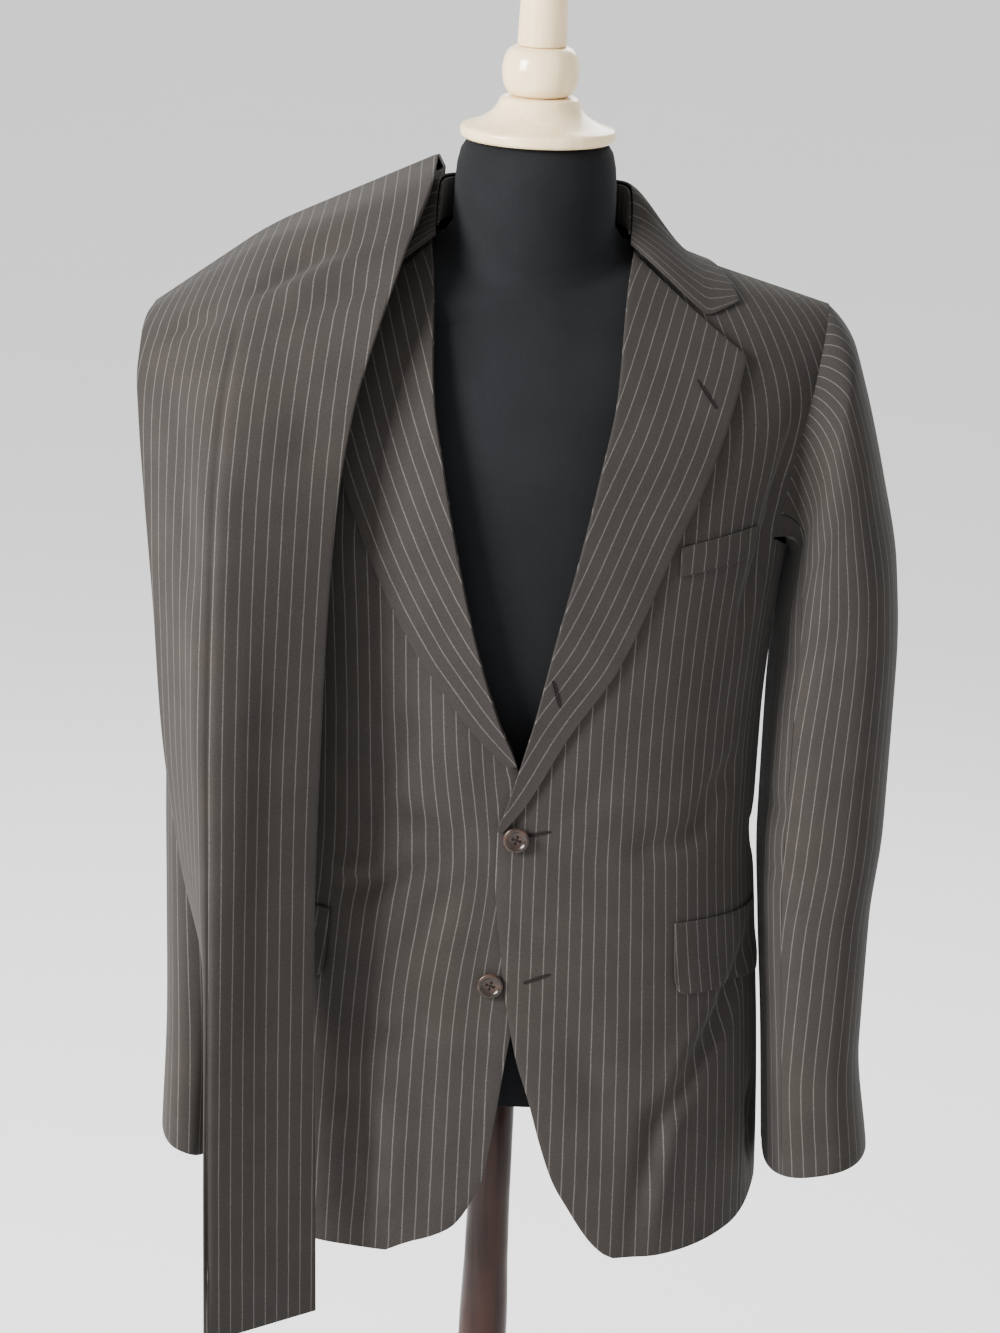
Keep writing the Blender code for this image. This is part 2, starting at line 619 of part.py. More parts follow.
def make_sleeves(wool):
    for side, mirrored in (("left", False), ("right", True)):
        for piece, start, end, columns in (
            ("top_sleeve", TOP_SLEEVE[0], TOP_SLEEVE[1], 11),
            ("under_sleeve", TOP_SLEEVE[1], TOP_SLEEVE[0] + 2.0 * math.pi, 9),
        ):
            def place(s, t, start=start, end=end, pressed=mirrored):
                turn = end - SLEEVE_SEAM + (start - end + 2.0 * SLEEVE_SEAM) * s
                return sleeve_point(turn, 1.0 - t, pressed)
            cloth(f"{piece}_{side}", wool, columns, 13, place, mirrored=mirrored)


# ---------------------------------------------------------------- pockets and buttons
def flap_point(s, t):
    start = angle_at(FLAP_X, FLAP_TOP_Z)
    angle = start + (FLAP_END - start) * s
    reach = min(s, 1.0 - s) * FLAP_W
    corner = FLAP_CORNER - math.sqrt(max(FLAP_CORNER ** 2 - max(FLAP_CORNER - reach, 0.0) ** 2, 0.0))
    return off_torso(angle, FLAP_TOP_Z - (FLAP_H - corner) * (1.0 - t), WALL + LAY)


def welt_point(s, t):
    (x0, z0), (x1, z1) = WELT_ENDS
    return on_front(x0 + (x1 - x0) * s, z0 + (z1 - z0) * s - WELT_H * (1.0 - t), WALL + LAY)


def button_profile(diameter, height):
    r = 0.5 * diameter
    return (
        (0.0, 0.62 * height), (0.62 * r, 0.62 * height), (0.80 * r, height), (r, 0.70 * height),
        (0.66 * r, 0.0), (0.0, 0.0),
    )


def facing(normal):
    return Vector((0.0, 0.0, 1.0)).rotation_difference(Vector(normal))


def make_pockets_and_buttons(wool, horn):
    for side, mirrored in (("left", False), ("right", True)):
        cloth(f"pocket_flap_{side}", wool, 9, 3, flap_point, mirrored=mirrored)
    cloth("breast_welt", wool, 6, 2, welt_point)
    for name, spot, depth in (("button_waist", WAIST_BUTTON, 0.0), ("button_low", LOW_BUTTON, UNDER_TUCK)):
        seat = on_front(*spot, BUTTON_LAY - depth)
        turned(name, horn, button_profile(BUTTON_D, BUTTON_H), seat, 18, facing((0.0, -1.0, 0.0)))
    for side, sign in (("left", 1.0), ("right", -1.0)):
        for i in range(CUFF_BUTTONS):
            t = CUFF_FIRST_T - CUFF_STEP_T * i
            (x, y, z), (nx, ny, nz) = sleeve_normal(CUFF_TURN, t, sign < 0.0)
            seat = (sign * (x + nx * CUFF_LAY), y + ny * CUFF_LAY, z + nz * CUFF_LAY)
            profile = button_profile(CUFF_BUTTON_D, CUFF_BUTTON_H)
            turned(f"cuff_button_{side}_{i + 1}", horn, profile, seat, 10, facing((sign * nx, ny, nz)))


def sleeve_normal(turn, t, pressed):
    """Point of the sleeve and its outward normal."""
    d = 0.02
    around = difference(sleeve_point(turn + d, t, pressed), sleeve_point(turn - d, t, pressed))
    down = difference(sleeve_point(turn, t + d, pressed), sleeve_point(turn, t - d, pressed))
    return sleeve_point(turn, t, pressed), unit(cross(around, down))


# ---------------------------------------------------------------- trousers
def drape_point(table, s, t):
    """Outer face of the trouser stack: s from the neck side over the ridge to the arm side, t along it."""
    row = table_row(table, t)
    rails = [[row[f"{rail}_{axis}"] for axis in "xyz"] for rail in "rkl"]
    r, k, l = ((x, y, z - DRAPE_SETTLE) for x, y, z in rails)
    bend = BEND_AT + BEND_SWAY * math.sin(2.0 * math.pi * t)
    if s < bend - KNEE:
        return mix(r, k, s / bend)
    if s > bend + KNEE:
        return mix(k, l, (s - bend) / (1.0 - bend))
    a = mix(r, k, (bend - KNEE) / bend)
    b = mix(k, l, KNEE / (1.0 - bend))
    u = (s - bend + KNEE) / (2.0 * KNEE)
    return tuple((1 - u) ** 2 * p + 2 * u * (1 - u) * q + u * u * w for p, q, w in zip(a, k, b))


def make_trousers(wool):
    cloth("trouser_leg_left", wool, 12, 17, lambda s, t: drape_point(DRAPE, 1.0 - s, t), wall=LEG_WALL)
    cloth("trouser_leg_right", wool, 12, 17, lambda s, t: under_leg(1.0 - s, t), wall=UNDER_LEG_WALL)
    cloth("trouser_seat", wool, 12, 8, lambda s, t: drape_point(SEAT, 1.0 - s, t), wall=SEAT_WALL)
    cloth("trouser_waistband", wool, 12, 2, lambda s, t: drape_point(BAND, 1.0 - s, t), wall=BAND_WALL)


def under_leg(s, t):
    """The second leg lies inside the first one, a little shorter at the hem."""
    d = 0.004
    reach = UNDER_LOW + (UNDER_HIGH - UNDER_LOW) * ease((t - UNDER_RISE[0]) / UNDER_RISE[1])
    s0, t0 = UNDER_EDGE_INSET + (reach - UNDER_EDGE_INSET) * s, 0.004 + 0.992 * t
    point = drape_point(DRAPE, s0, t0)
    across = difference(drape_point(DRAPE, s0 + d, t0), drape_point(DRAPE, s0 - d, t0))
    up = difference(drape_point(DRAPE, s0, min(t0 + d, 1.0)), drape_point(DRAPE, s0, t0 - d))
    inward = unit(cross(across, up))
    return tuple(p + (LEG_WALL + LEG_GAP) * n for p, n in zip(point, inward))


# ---------------------------------------------------------------- dress form
def form_point(turn, share):
    """Point of the form at a turn from the centre front and a share of the way up."""
    angle = abs(turn)
    body, shoulder, neck_base = FORM_SHARES
    if share <= body:
        x, y, z = torso(angle, FORM_BOTTOM_Z + (CHEST_Z - FORM_BOTTOM_Z) * share / body, FORM)
    elif share <= shoulder:
        v = CHEST_Z + CLOSING_LEVEL * (share - body) / (shoulder - body)
        x, y, z = torso(angle, v, FORM, FORM_TOP_W, FORM_DROP)
    else:
        x, y, own_z = torso(angle, CHEST_Z + CLOSING_LEVEL, FORM, FORM_TOP_W, FORM_DROP)
        closing = clamp((share - shoulder) / (neck_base - shoulder))
        neck_x = NECK_HALF * math.sin(angle)
        neck_y = NECK_Y - NECK_DEPTH * math.cos(angle)
        x, y = x + (neck_x - x) * closing, y + (neck_y - y) * closing
        drop = FORM_DROP + FORM_RELIEF * ease(abs(y) / 0.03)
        under = on_shoulder(max(x, 0.0005), y)[2] - drop
        z = own_z + (under - own_z) * ease(closing / 0.5) + NECK_FILLET * ease((closing - 0.92) / 0.08)
        if share > neck_base:
            up = (share - neck_base) / (1.0 - neck_base)
            z += (NECK_TOP_Z - z) * math.sin(up * math.radians(90.0))
            shrink = 1.0 - NECK_SHRINK * (1.0 - math.cos(up * math.radians(90.0))) ** 2
            x, y = x * shrink, NECK_Y + (y - NECK_Y) * shrink
    return math.copysign(x, turn), y, z


def make_form(jersey, pale_wood, dark_wood):
    bm = bmesh.new()
    bmesh.ops.create_cone(bm, cap_ends=True, segments=FORM_AROUND, radius1=1.0, radius2=1.0, depth=1.0)
    bmesh.ops.delete(bm, geom=[f for f in bm.faces if len(f.verts) > 4], context="FACES_ONLY")
    uprights = [e for e in bm.edges if abs(e.verts[0].co.z - e.verts[1].co.z) > 0.5]
    bmesh.ops.subdivide_edges(bm, edges=uprights, cuts=FORM_RINGS - 1, use_grid_fill=False)
    for vertex in bm.verts:
        turn = math.atan2(vertex.co.x, -vertex.co.y)
        share = vertex.co.z + 0.5
        vertex.co = form_point(turn, share)
    bmesh.ops.holes_fill(bm, edges=[e for e in bm.edges if e.is_boundary], sides=FORM_AROUND)
    bmesh.ops.recalc_face_normals(bm, faces=bm.faces)
    add_object("form_torso", mesh_of("form_torso", bm), jersey, 50.0)
    neck = (0.0, NECK_Y, 0.0)
    turned("form_neck_cap", pale_wood, (
        (0.0, 1.5050), (0.0240, 1.5050), (0.0280, 1.5035), (0.0300, 1.4990), (0.0345, 1.4930),
        (0.0430, 1.4875),
        (0.0530, 1.4840), (0.0562, 1.4815), (0.0562, 1.4780), (0.0540, 1.4745), (0.0, 1.4745),
    ), neck, 24)
    bead = [(0.0, 1.5405)] + [
        (0.0170 + 0.0108 * math.sin(math.radians(a)) ** 0.8, 1.5229 + 0.0176 * math.cos(math.radians(a)))
        for a in range(0, 181, 30)
    ] + [(0.0, 1.5053)]
    turned("form_bead", pale_wood, bead, neck, 24)
    tip = [(0.0, POLE_TOP_Z)] + [
        (0.0155 * math.sin(math.radians(a)), POLE_TOP_Z - 0.0155 * (1.0 - math.cos(math.radians(a))))
        for a in range(30, 91, 30)
    ]
    turned("form_finial_pole", pale_wood, tip + [(0.0178, 1.5408), (0.0, 1.5408)], neck, 24)
    turned("form_post", dark_wood, (
        (0.0, FORM_BOTTOM_Z - SEAM), (0.0165, FORM_BOTTOM_Z - SEAM), (0.0165, 0.640), (0.0190, 0.540),
        (0.0190, 0.520),
        (0.0250, 0.512), (0.0270, 0.500), (0.0250, 0.488), (0.0190, 0.480), (0.0180, 0.300), (0.0195, 0.120),
        (0.0280, 0.080), (0.0340, 0.060), (0.0340, BASE_H + SEAM), (0.0, BASE_H + SEAM),
    ), (0.0, 0.0, 0.0), 18)
    r = 0.5 * BASE_D
    turned("form_base", dark_wood, (
        (0.0, BASE_H), (r - 0.020, BASE_H), (r - 0.008, BASE_H - 0.003), (r - 0.001, BASE_H - 0.010),
        (r, 0.004),
        (r - 0.003, 0.0), (0.0, 0.0),
    ), (0.0, 0.0, 0.0), 40)


def main():
    start_empty_scene()
    wool = material("pinstripe_wool", (0.055, 0.050, 0.047), 0.85)
    horn = material("horn_button", (0.045, 0.026, 0.018), 0.30)
    jersey = material("form_jersey", (0.020, 0.022, 0.025), 0.90)
    pale_wood = material("pale_lacquered_wood", (0.82, 0.72, 0.52), 0.25)
    dark_wood = material("dark_stained_wood", (0.030, 0.014, 0.011), 0.40)
    make_form(jersey, pale_wood, dark_wood)
    make_jacket_body(wool)
    make_lapels_and_collar(wool)
    make_sleeves(wool)
    make_pockets_and_buttons(wool, horn)
    make_trousers(wool)


main()
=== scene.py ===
"""Two-piece pinstripe suit on a dress form, dressed for a studio picture.

The jacket is worn by the form and buttoned at the waist; the trousers are folded on their creases and hang
over the wearer's right shoulder.  Metres, +Z up, the chest faces -Y.
"""
import logging
import math
from bisect import bisect_right
from dataclasses import dataclass, field
from enum import Enum
from functools import lru_cache
from typing import Callable, Sequence

import bmesh
import bpy
from mathutils import Matrix, Vector


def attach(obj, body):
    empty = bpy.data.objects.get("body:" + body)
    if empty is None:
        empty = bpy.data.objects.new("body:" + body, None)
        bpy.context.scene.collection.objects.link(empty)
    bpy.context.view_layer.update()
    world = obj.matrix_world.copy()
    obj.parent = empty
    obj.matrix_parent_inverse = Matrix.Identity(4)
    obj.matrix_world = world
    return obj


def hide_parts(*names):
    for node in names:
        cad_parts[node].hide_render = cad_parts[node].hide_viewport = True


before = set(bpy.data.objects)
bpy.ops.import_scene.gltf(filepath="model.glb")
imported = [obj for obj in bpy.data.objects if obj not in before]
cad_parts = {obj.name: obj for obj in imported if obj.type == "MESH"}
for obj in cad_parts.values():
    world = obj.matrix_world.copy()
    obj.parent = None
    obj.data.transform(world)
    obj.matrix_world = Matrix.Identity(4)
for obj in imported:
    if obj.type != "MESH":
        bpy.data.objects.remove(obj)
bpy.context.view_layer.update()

log = logging.getLogger("suit")

Triple = tuple[float, float, float]
Place = Callable[[float, float], Triple]
Grain = Callable[[float, float], tuple[float, float]]

WALL = 0.0015
SEAM = 0.0004
LAY = 0.0005
CHEST_Z = 1.20
TIP_X = 0.2185
TIP_Z = 1.3620
SLOPE = 0.29
NECK_X = 0.0770
SIDE_FRONT = math.radians(66.0)
SIDE_BACK = math.radians(116.0)
STRIPE_PITCH = 0.0095


class Held(Enum):
    """How a cloth piece is held."""

    DRAPED = "draped"
    HUNG = "hung"
    FOLDED = "folded"


class Slot(Enum):
    """The record's material slots."""

    WOOL = "pinstripe_wool"
    HORN = "horn_button"
    JERSEY = "form_jersey"
    PALE_WOOD = "pale_lacquered_wood"
    DARK_WOOD = "dark_stained_wood"


# --- small sums
def clamp(value: float, low: float = 0.0, high: float = 1.0) -> float:
    """The value held between low and high."""
    return max(low, min(high, value))


def ease(t: float) -> float:
    """Smooth step from 0 to 1."""
    t = clamp(t)
    return t * t * (3.0 - 2.0 * t)


def signed_power(value: float, power: float) -> float:
    """Power that keeps the value's sign."""
    return math.copysign(abs(value) ** power, value)


def mix(a: Sequence[float], b: Sequence[float], t: float) -> Triple:
    """Point a share of the way from a to b."""
    return tuple(p + (q - p) * t for p, q in zip(a, b))


def difference(a: Triple, b: Triple) -> Triple:
    """Vector from b to a."""
    return a[0] - b[0], a[1] - b[1], a[2] - b[2]


def cross(a: Triple, b: Triple) -> Triple:
    """Cross product."""
    return a[1] * b[2] - a[2] * b[1], a[2] * b[0] - a[0] * b[2], a[0] * b[1] - a[1] * b[0]


def unit(a: Triple) -> Triple:
    """The vector at length 1."""
    size = math.sqrt(sum(c * c for c in a)) or 1.0
    return a[0] / size, a[1] / size, a[2] / size


def moved(a: Triple, along: Triple, by: float) -> Triple:
    """Point moved by a distance along a direction."""
    return a[0] + along[0] * by, a[1] + along[1] * by, a[2] + along[2] * by


class Curve:
    """Smooth curve through (key, value) pairs that never overshoots them."""

    def __init__(self, keys: Sequence[float], values: Sequence[float]) -> None:
        """Works out the tangents.

        Args:
            keys: Rising positions.
            values: Value at each position.
        """
        self.keys, self.values = list(keys), list(values)
        slopes = [
            (values[i + 1] - values[i]) / (keys[i + 1] - keys[i]) for i in range(len(keys) - 1)
        ]
        self.tangents = [slopes[0]] + [
            0.0 if a * b <= 0.0 else 2.0 * a * b / (a + b) for a, b in zip(slopes, slopes[1:])
        ] + [slopes[-1]]

    def __call__(self, at: float) -> float:
        """Value of the curve at a position, held at its ends.

        Args:
            at: Position along the keys.

        Returns:
            Value there.
        """
        keys, values = self.keys, self.values
        if at <= keys[0]:
            return values[0]
        if at >= keys[-1]:
            return values[-1]
        i = bisect_right(keys, at) - 1
        span = keys[i + 1] - keys[i]
        t = (at - keys[i]) / span
        a, b = self.tangents[i] * span, self.tangents[i + 1] * span
        rise = values[i + 1] - values[i]
        return values[i] + t * (a + t * (3.0 * rise - 2.0 * a - b + t * (a + b - 2.0 * rise)))


def curves(names: Sequence[str], rows: Sequence[Sequence[float]], by_row: bool = False) -> dict[str, Curve]:
    """Curves of a table's columns.

    Args:
        names: Column names; the first one is the key.
        rows: The table.
        by_row: Whether the row's number is the key, and the first column is a value too.

    Returns:
        One curve for each value column.
    """
    if by_row:
        keys = [float(i) for i in range(len(rows))]
        return {name: Curve(keys, [row[i] for row in rows]) for i, name in enumerate(names)}
    keys = [row[0] for row in rows]
    return {name: Curve(keys, [row[i] for row in rows]) for i, name in enumerate(names) if i}


HEM = Curve((0.0, 30.0, 60.0, 90.0, 130.0, 180.0), (0.648, 0.648, 0.660, 0.684, 0.690, 0.690))
FRONT_EDGE = curves(("z", "x"), (
    (0.646, 0.1000), (0.652, 0.0880), (0.664, 0.0760), (0.690, 0.0590), (0.712, 0.0465), (0.743, 0.0355),
    (0.777, 0.0255), (0.809, 0.0150), (0.857, 0.0050), (0.894, 0.0000), (0.950, -0.0060), (0.985, -0.0060),
    (1.000, -0.0010), (1.040, 0.0095), (1.070, 0.0170), (1.130, 0.0290), (1.197, 0.0435), (1.254, 0.0547),
    (1.309, 0.0647), (1.376, 0.0690), (1.410, 0.0750),
))["x"]
UNDER_EDGE = curves(("z", "x"), (
    (0.646, 0.0800), (0.657, 0.0576), (0.662, 0.0434), (0.672, 0.0258), (0.692, 0.0130), (0.716, 0.0043),
    (0.760, -0.0021), (0.805, -0.0076), (0.850, -0.0140), (0.950, -0.0190), (0.985, -0.0190),
    (1.000, -0.0150), (1.040, -0.0050), (1.070, 0.0080), (1.130, 0.0270), (1.197, 0.0430), (1.254, 0.0547),
    (1.309, 0.0647), (1.376, 0.0690), (1.410, 0.0750),
))["x"]
LAPEL_EDGE = curves(("z", "x"), (
    (0.985, -0.0020), (1.005, 0.0126), (1.063, 0.0430), (1.117, 0.0760), (1.206, 0.1109),
    (1.258, 0.1323), (1.312, 0.1493), (1.332, 0.1540),
))["x"]
UNDER_LAPEL_EDGE = curves(("z", "x"), (
    (1.036, 0.0010), (1.047, 0.0125), (1.066, 0.0300), (1.090, 0.0480), (1.120, 0.0690), (1.170, 0.0960),
    (1.213, 0.1150), (1.258, 0.1323), (1.312, 0.1493), (1.332, 0.1540),
))["x"]
ARMHOLE = curves(("z", "x"), (
    (1.200, 0.1860), (1.225, 0.1900), (1.266, 0.1980), (1.323, 0.2100), (1.350, 0.2160), (1.370, 0.2185),
))["x"]


def ridge_z(x: float) -> float:
    """Height of the shoulder line at a distance from the centre."""
    return TIP_Z + SLOPE * (TIP_X - abs(x))


def bisect(grows: Callable[[float], float], target: float, low: float, high: float) -> float:
    """Where a growing function reaches a target.

    Args:
        grows: Function that grows with its argument.
        target: Value to reach.
        low: Lowest argument.
        high: Highest argument.

    Returns:
        Argument at which it reaches the target.
    """
    for _ in range(24):
        middle = 0.5 * (low + high)
        if grows(middle) < target:
            low = middle
        else:
            high = middle
    return low


class Torso:
    """The rounded-box torso that the cloth lies on: an angle from the centre front and a level.

    The level is a height up to the chest, and then runs on by 1 up to the shoulder line.
    """

    ROUND = 0.8
    RISE_POWER = 0.95
    DEPTH_POWER = 1.2

    def __init__(self, rows: Sequence[Sequence[float]], top_width: float, drop: float = 0.0) -> None:
        """Reads the torso's table.

        Args:
            rows: Height, half width, front depth and back depth.
            top_width: Half width that the shoulder rows open to.
            drop: How far under the shoulder line this surface stays.
        """
        table = curves(("z", "half", "front", "back"), rows)
        self.half, self.front, self.back = table["half"], table["front"], table["back"]
        self.top_width, self.drop = top_width, drop
        self.angle_at = lru_cache(maxsize=None)(self._angle_at)

    def point(self, angle: float, v: float) -> Triple:
        """Point at an angle from the centre front and a level.

        Args:
            angle: Angle from the centre front, in radians.
            v: Level.

        Returns:
            The point.
        """
        rise = lift = 0.0
        width, z = self.half(v), v
        if v > CHEST_Z:
            lift = math.radians(90.0) * clamp(v - CHEST_Z)
            rise = math.sin(lift) ** self.RISE_POWER
            start = self.half(CHEST_Z)
            width = start + (self.top_width - start) * ease(1.25 * rise)
            z = CHEST_Z + 0.1 * rise
        depth = (self.front if math.cos(angle) > 0.0 else self.back)(z)
        x = width * signed_power(math.sin(angle), self.ROUND)
        y = -depth * signed_power(math.cos(angle), self.ROUND)
        if v <= CHEST_Z:
            return x, y, v
        top = CHEST_Z + (ridge_z(x) - self.drop - CHEST_Z) * rise
        return x, y * max(math.cos(lift), 0.0) ** self.DEPTH_POWER, top

    def _angle_at(self, x: float, v: float) -> float:
        """Angle on the front at a distance from the centre, which may be negative."""
        return math.copysign(bisect(lambda a: self.point(a, v)[0], abs(x), 0.0, math.radians(90.0)), x)

    def level(self, z: float, x: float) -> float:
        """Level for a height at a distance from the centre.

        Args:
            z: Height.
            x: Distance from the centre.

        Returns:
            The level.
        """
        if z <= CHEST_Z:
            return z
        share = clamp((z - CHEST_Z) / (ridge_z(x) - CHEST_Z))
        return CHEST_Z + math.asin(share ** (1.0 / self.RISE_POWER)) / math.radians(90.0)

    def level_at_depth(self, x: float, y: float) -> float:
        """Level where the shoulder has this depth, front or back, at a distance from the centre.

        Args:
            x: Distance from the centre.
            y: Depth, negative in front.

        Returns:
            The level.
        """
        def nearness(v: float) -> float:
            """Depth there, negated so that it grows with the level."""
            angle = self._angle_at(x, v)
            return -abs(self.point(math.pi - angle if y > 0.0 else angle, v)[1])
        return bisect(nearness, -abs(y), CHEST_Z, CHEST_Z + 1.0)

    def off(self, angle: float, v: float, out: float) -> Triple:
        """Point moved out along the surface's normal.

        Args:
            angle: Angle from the centre front, in radians.
            v: Level.
            out: Distance off the surface.

        Returns:
            The point.
        """
        point = self.point(angle, v)
        if out == 0.0:
            return point
        d = 0.004
        around = difference(self.point(angle + d, v), self.point(angle - d, v))
        up = difference(self.point(angle, min(v + d, CHEST_Z + 0.999)), self.point(angle, v - d))
        return moved(point, unit(cross(around, up)), out)

    def on_shoulder(self, x: float, y: float, out: float = 0.0) -> Triple:
        """Point of the shoulder over a plan position, raised by a distance.

        Args:
            x: Distance from the centre.
            y: Depth, negative in front.
            out: Distance that it is raised by.

        Returns:
            The point.
        """
        v = self.level_at_depth(x, y)
        angle = self._angle_at(x, v)
        return x, y, self.point(math.pi - angle if y > 0.0 else angle, v)[2] + out


JACKET_TORSO = Torso((
    (0.640, 0.2070, 0.124, 0.120), (0.720, 0.2045, 0.124, 0.120), (0.800, 0.2000, 0.121, 0.118),
    (0.900, 0.1920, 0.117, 0.111), (0.980, 0.1865, 0.117, 0.107), (1.050, 0.1870, 0.122, 0.109),
    (1.130, 0.1915, 0.130, 0.116), (1.200, 0.1985, 0.134, 0.123), (1.300, 0.2050, 0.134, 0.125),
), 0.2350)
FORM_TORSO = Torso((
    (0.760, 0.1620, 0.098, 0.098), (0.860, 0.1720, 0.104, 0.104), (0.960, 0.1640, 0.100, 0.094),
    (1.040, 0.1640, 0.104, 0.094), (1.130, 0.1760, 0.116, 0.103), (1.200, 0.1840, 0.121, 0.111),
    (1.300, 0.1860, 0.121, 0.113),
), 0.2030, 0.0033)


# --- creases
@dataclass(frozen=True)
class Fold:
    """A soft trough or ridge along a path on a piece.

    The path is in metres: across the piece, and along it.  A depth below 0 is a trough.
    """

    path: tuple[tuple[float, float], ...]
    depth: float
    width: float
    fade: float = 0.35

    def height(self, u: float, v: float) -> float:
        """Height that the fold adds at a spot of the piece.

        Args:
            u: Distance across the piece.
            v: Distance along it.

        Returns:
            Height along the surface's normal.
        """
        best, where = 1e9, 0.0
        count = len(self.path) - 1
        for i in range(count):
            (u0, v0), (u1, v1) = self.path[i], self.path[i + 1]
            du, dv = u1 - u0, v1 - v0
            share = clamp(((u - u0) * du + (v - v0) * dv) / (du * du + dv * dv))
            off = (u - u0 - du * share) ** 2 + (v - v0 - dv * share) ** 2
            if off < best:
                best, where = off, (i + share) / count
        near = best / (self.width * self.width)
        if near > 9.0:
            return 0.0
        tip = min(where, 1.0 - where) / self.fade
        return self.depth * math.exp(-near) * (0.15 + 0.85 * ease(tip))


def relief(folds: Sequence[Fold], u: float, v: float) -> float:
    """Height that a piece's folds add together at a spot."""
    return sum(fold.height(u, v) for fold in folds)


# --- shader helpers
class Nodes:
    """Short way to lay nodes in a material or a node group."""

    def __init__(self, tree: bpy.types.NodeTree) -> None:
        """Keeps the tree that nodes are added to."""
        self.tree = tree

    def add(self, kind: str, inputs: dict | None = None, **settings: object) -> bpy.types.Node:
        """Adds a node.

        Args:
            kind: Node type without its ShaderNode prefix.
            inputs: Socket name or number to a value or to a socket to link from.
            settings: The node's own settings.

        Returns:
            The node.
        """
        node = self.tree.nodes.new(f"ShaderNode{kind}")
        for name, value in settings.items():
            setattr(node, name, value)
        for key, value in (inputs or {}).items():
            if isinstance(value, bpy.types.NodeSocket):
                self.tree.links.new(value, node.inputs[key])
            else:
                node.inputs[key].default_value = value
        return node

    def math(self, operation: str, *values: object) -> bpy.types.NodeSocket:
        """Adds a Math node on values or sockets and returns its output."""
        return self.add("Math", dict(enumerate(values)), operation=operation).outputs[0]

    def blend(self, share: object, a: object, b: object, mode: str = "MIX") -> bpy.types.NodeSocket:
        """Adds a colour Mix node and returns its colour."""
        node = self.add("Mix", {0: share, 6: a, 7: b}, data_type="RGBA", blend_type=mode)
        return node.outputs[2]

    def between(self, value: object, low: float, high: float, to_low: float,
                to_high: float) -> bpy.types.NodeSocket:
        """Adds a smooth Map Range node and returns its result.

        Args:
            value: The value.
            low: Lowest value.
            high: Highest value.
            to_low: What the lowest becomes.
            to_high: What the highest becomes.

        Returns:
            Socket of the mapped value.
        """
        node = self.add("MapRange", {0: value, 1: low, 2: high, 3: to_low, 4: to_high})
        node.interpolation_type = "SMOOTHSTEP"
        return node.outputs[0]


def new_group(name: str, inputs: dict[str, float],
              outputs: dict[str, str]) -> tuple[Nodes, dict, bpy.types.Node]:
    """Starts a shader node group.

    Args:
        name: Name of the group.
        inputs: Name and default value of each number that it takes.
        outputs: Name and socket type of each result.

    Returns:
        The group's nodes, its input sockets by name, and its output node.
    """
    tree = bpy.data.node_groups.new(name, "ShaderNodeTree")
    tree.interface.new_socket("Vector", in_out="INPUT", socket_type="NodeSocketVector")
    for key, value in inputs.items():
        socket = tree.interface.new_socket(key, in_out="INPUT", socket_type="NodeSocketFloat")
        socket.default_value = value
    for key, kind in outputs.items():
        tree.interface.new_socket(key, in_out="OUTPUT", socket_type=kind)
    nodes = Nodes(tree)
    start = tree.nodes.new("NodeGroupInput")
    end = tree.nodes.new("NodeGroupOutput")
    return nodes, {socket.name: socket for socket in start.outputs if socket.name}, end


def pinstripe_group() -> bpy.types.NodeTree:
    """Mask of thin woven stripes along V, and how far across the pitch a spot lies.

    Returns:
        The node group.
    """
    n, given, end = new_group("pinstripe", {"Pitch": STRIPE_PITCH, "Width": 0.0008},
                              {"Stripe": "NodeSocketFloat"})
    apart = n.add("SeparateXYZ", {0: given["Vector"]})
    waver = n.add("TexNoise", {"Vector": given["Vector"], "Scale": 60.0, "Detail": 2.0})
    u = n.math("ADD", apart.outputs[0], n.math("MULTIPLY", n.math("SUBTRACT", waver.outputs[0], 0.5), 0.0007))
    cell = n.math("SUBTRACT", n.math("FRACT", n.math("DIVIDE", u, given["Pitch"])), 0.5)
    distance = n.math("MULTIPLY", n.math("ABSOLUTE", cell), given["Pitch"])
    half = n.math("MULTIPLY", given["Width"], 0.5)
    edge = n.math("DIVIDE", n.math("SUBTRACT", distance, n.math("MULTIPLY", half, 0.55)), half)
    line = n.math("SUBTRACT", 1.0, n.between(edge, 0.0, 1.0, 0.0, 1.0))
    yarn = n.add("TexNoise", {
        "Vector": n.add("Mapping", {0: given["Vector"], 3: (150.0, 900.0, 1.0)}).outputs[0], "Scale": 1.0,
        "Detail": 2.0,
    })
    broken = n.between(yarn.outputs[0], 0.30, 0.62, 0.55, 1.0)
    n.tree.links.new(n.math("MULTIPLY", line, broken), end.inputs["Stripe"])
    return n.tree


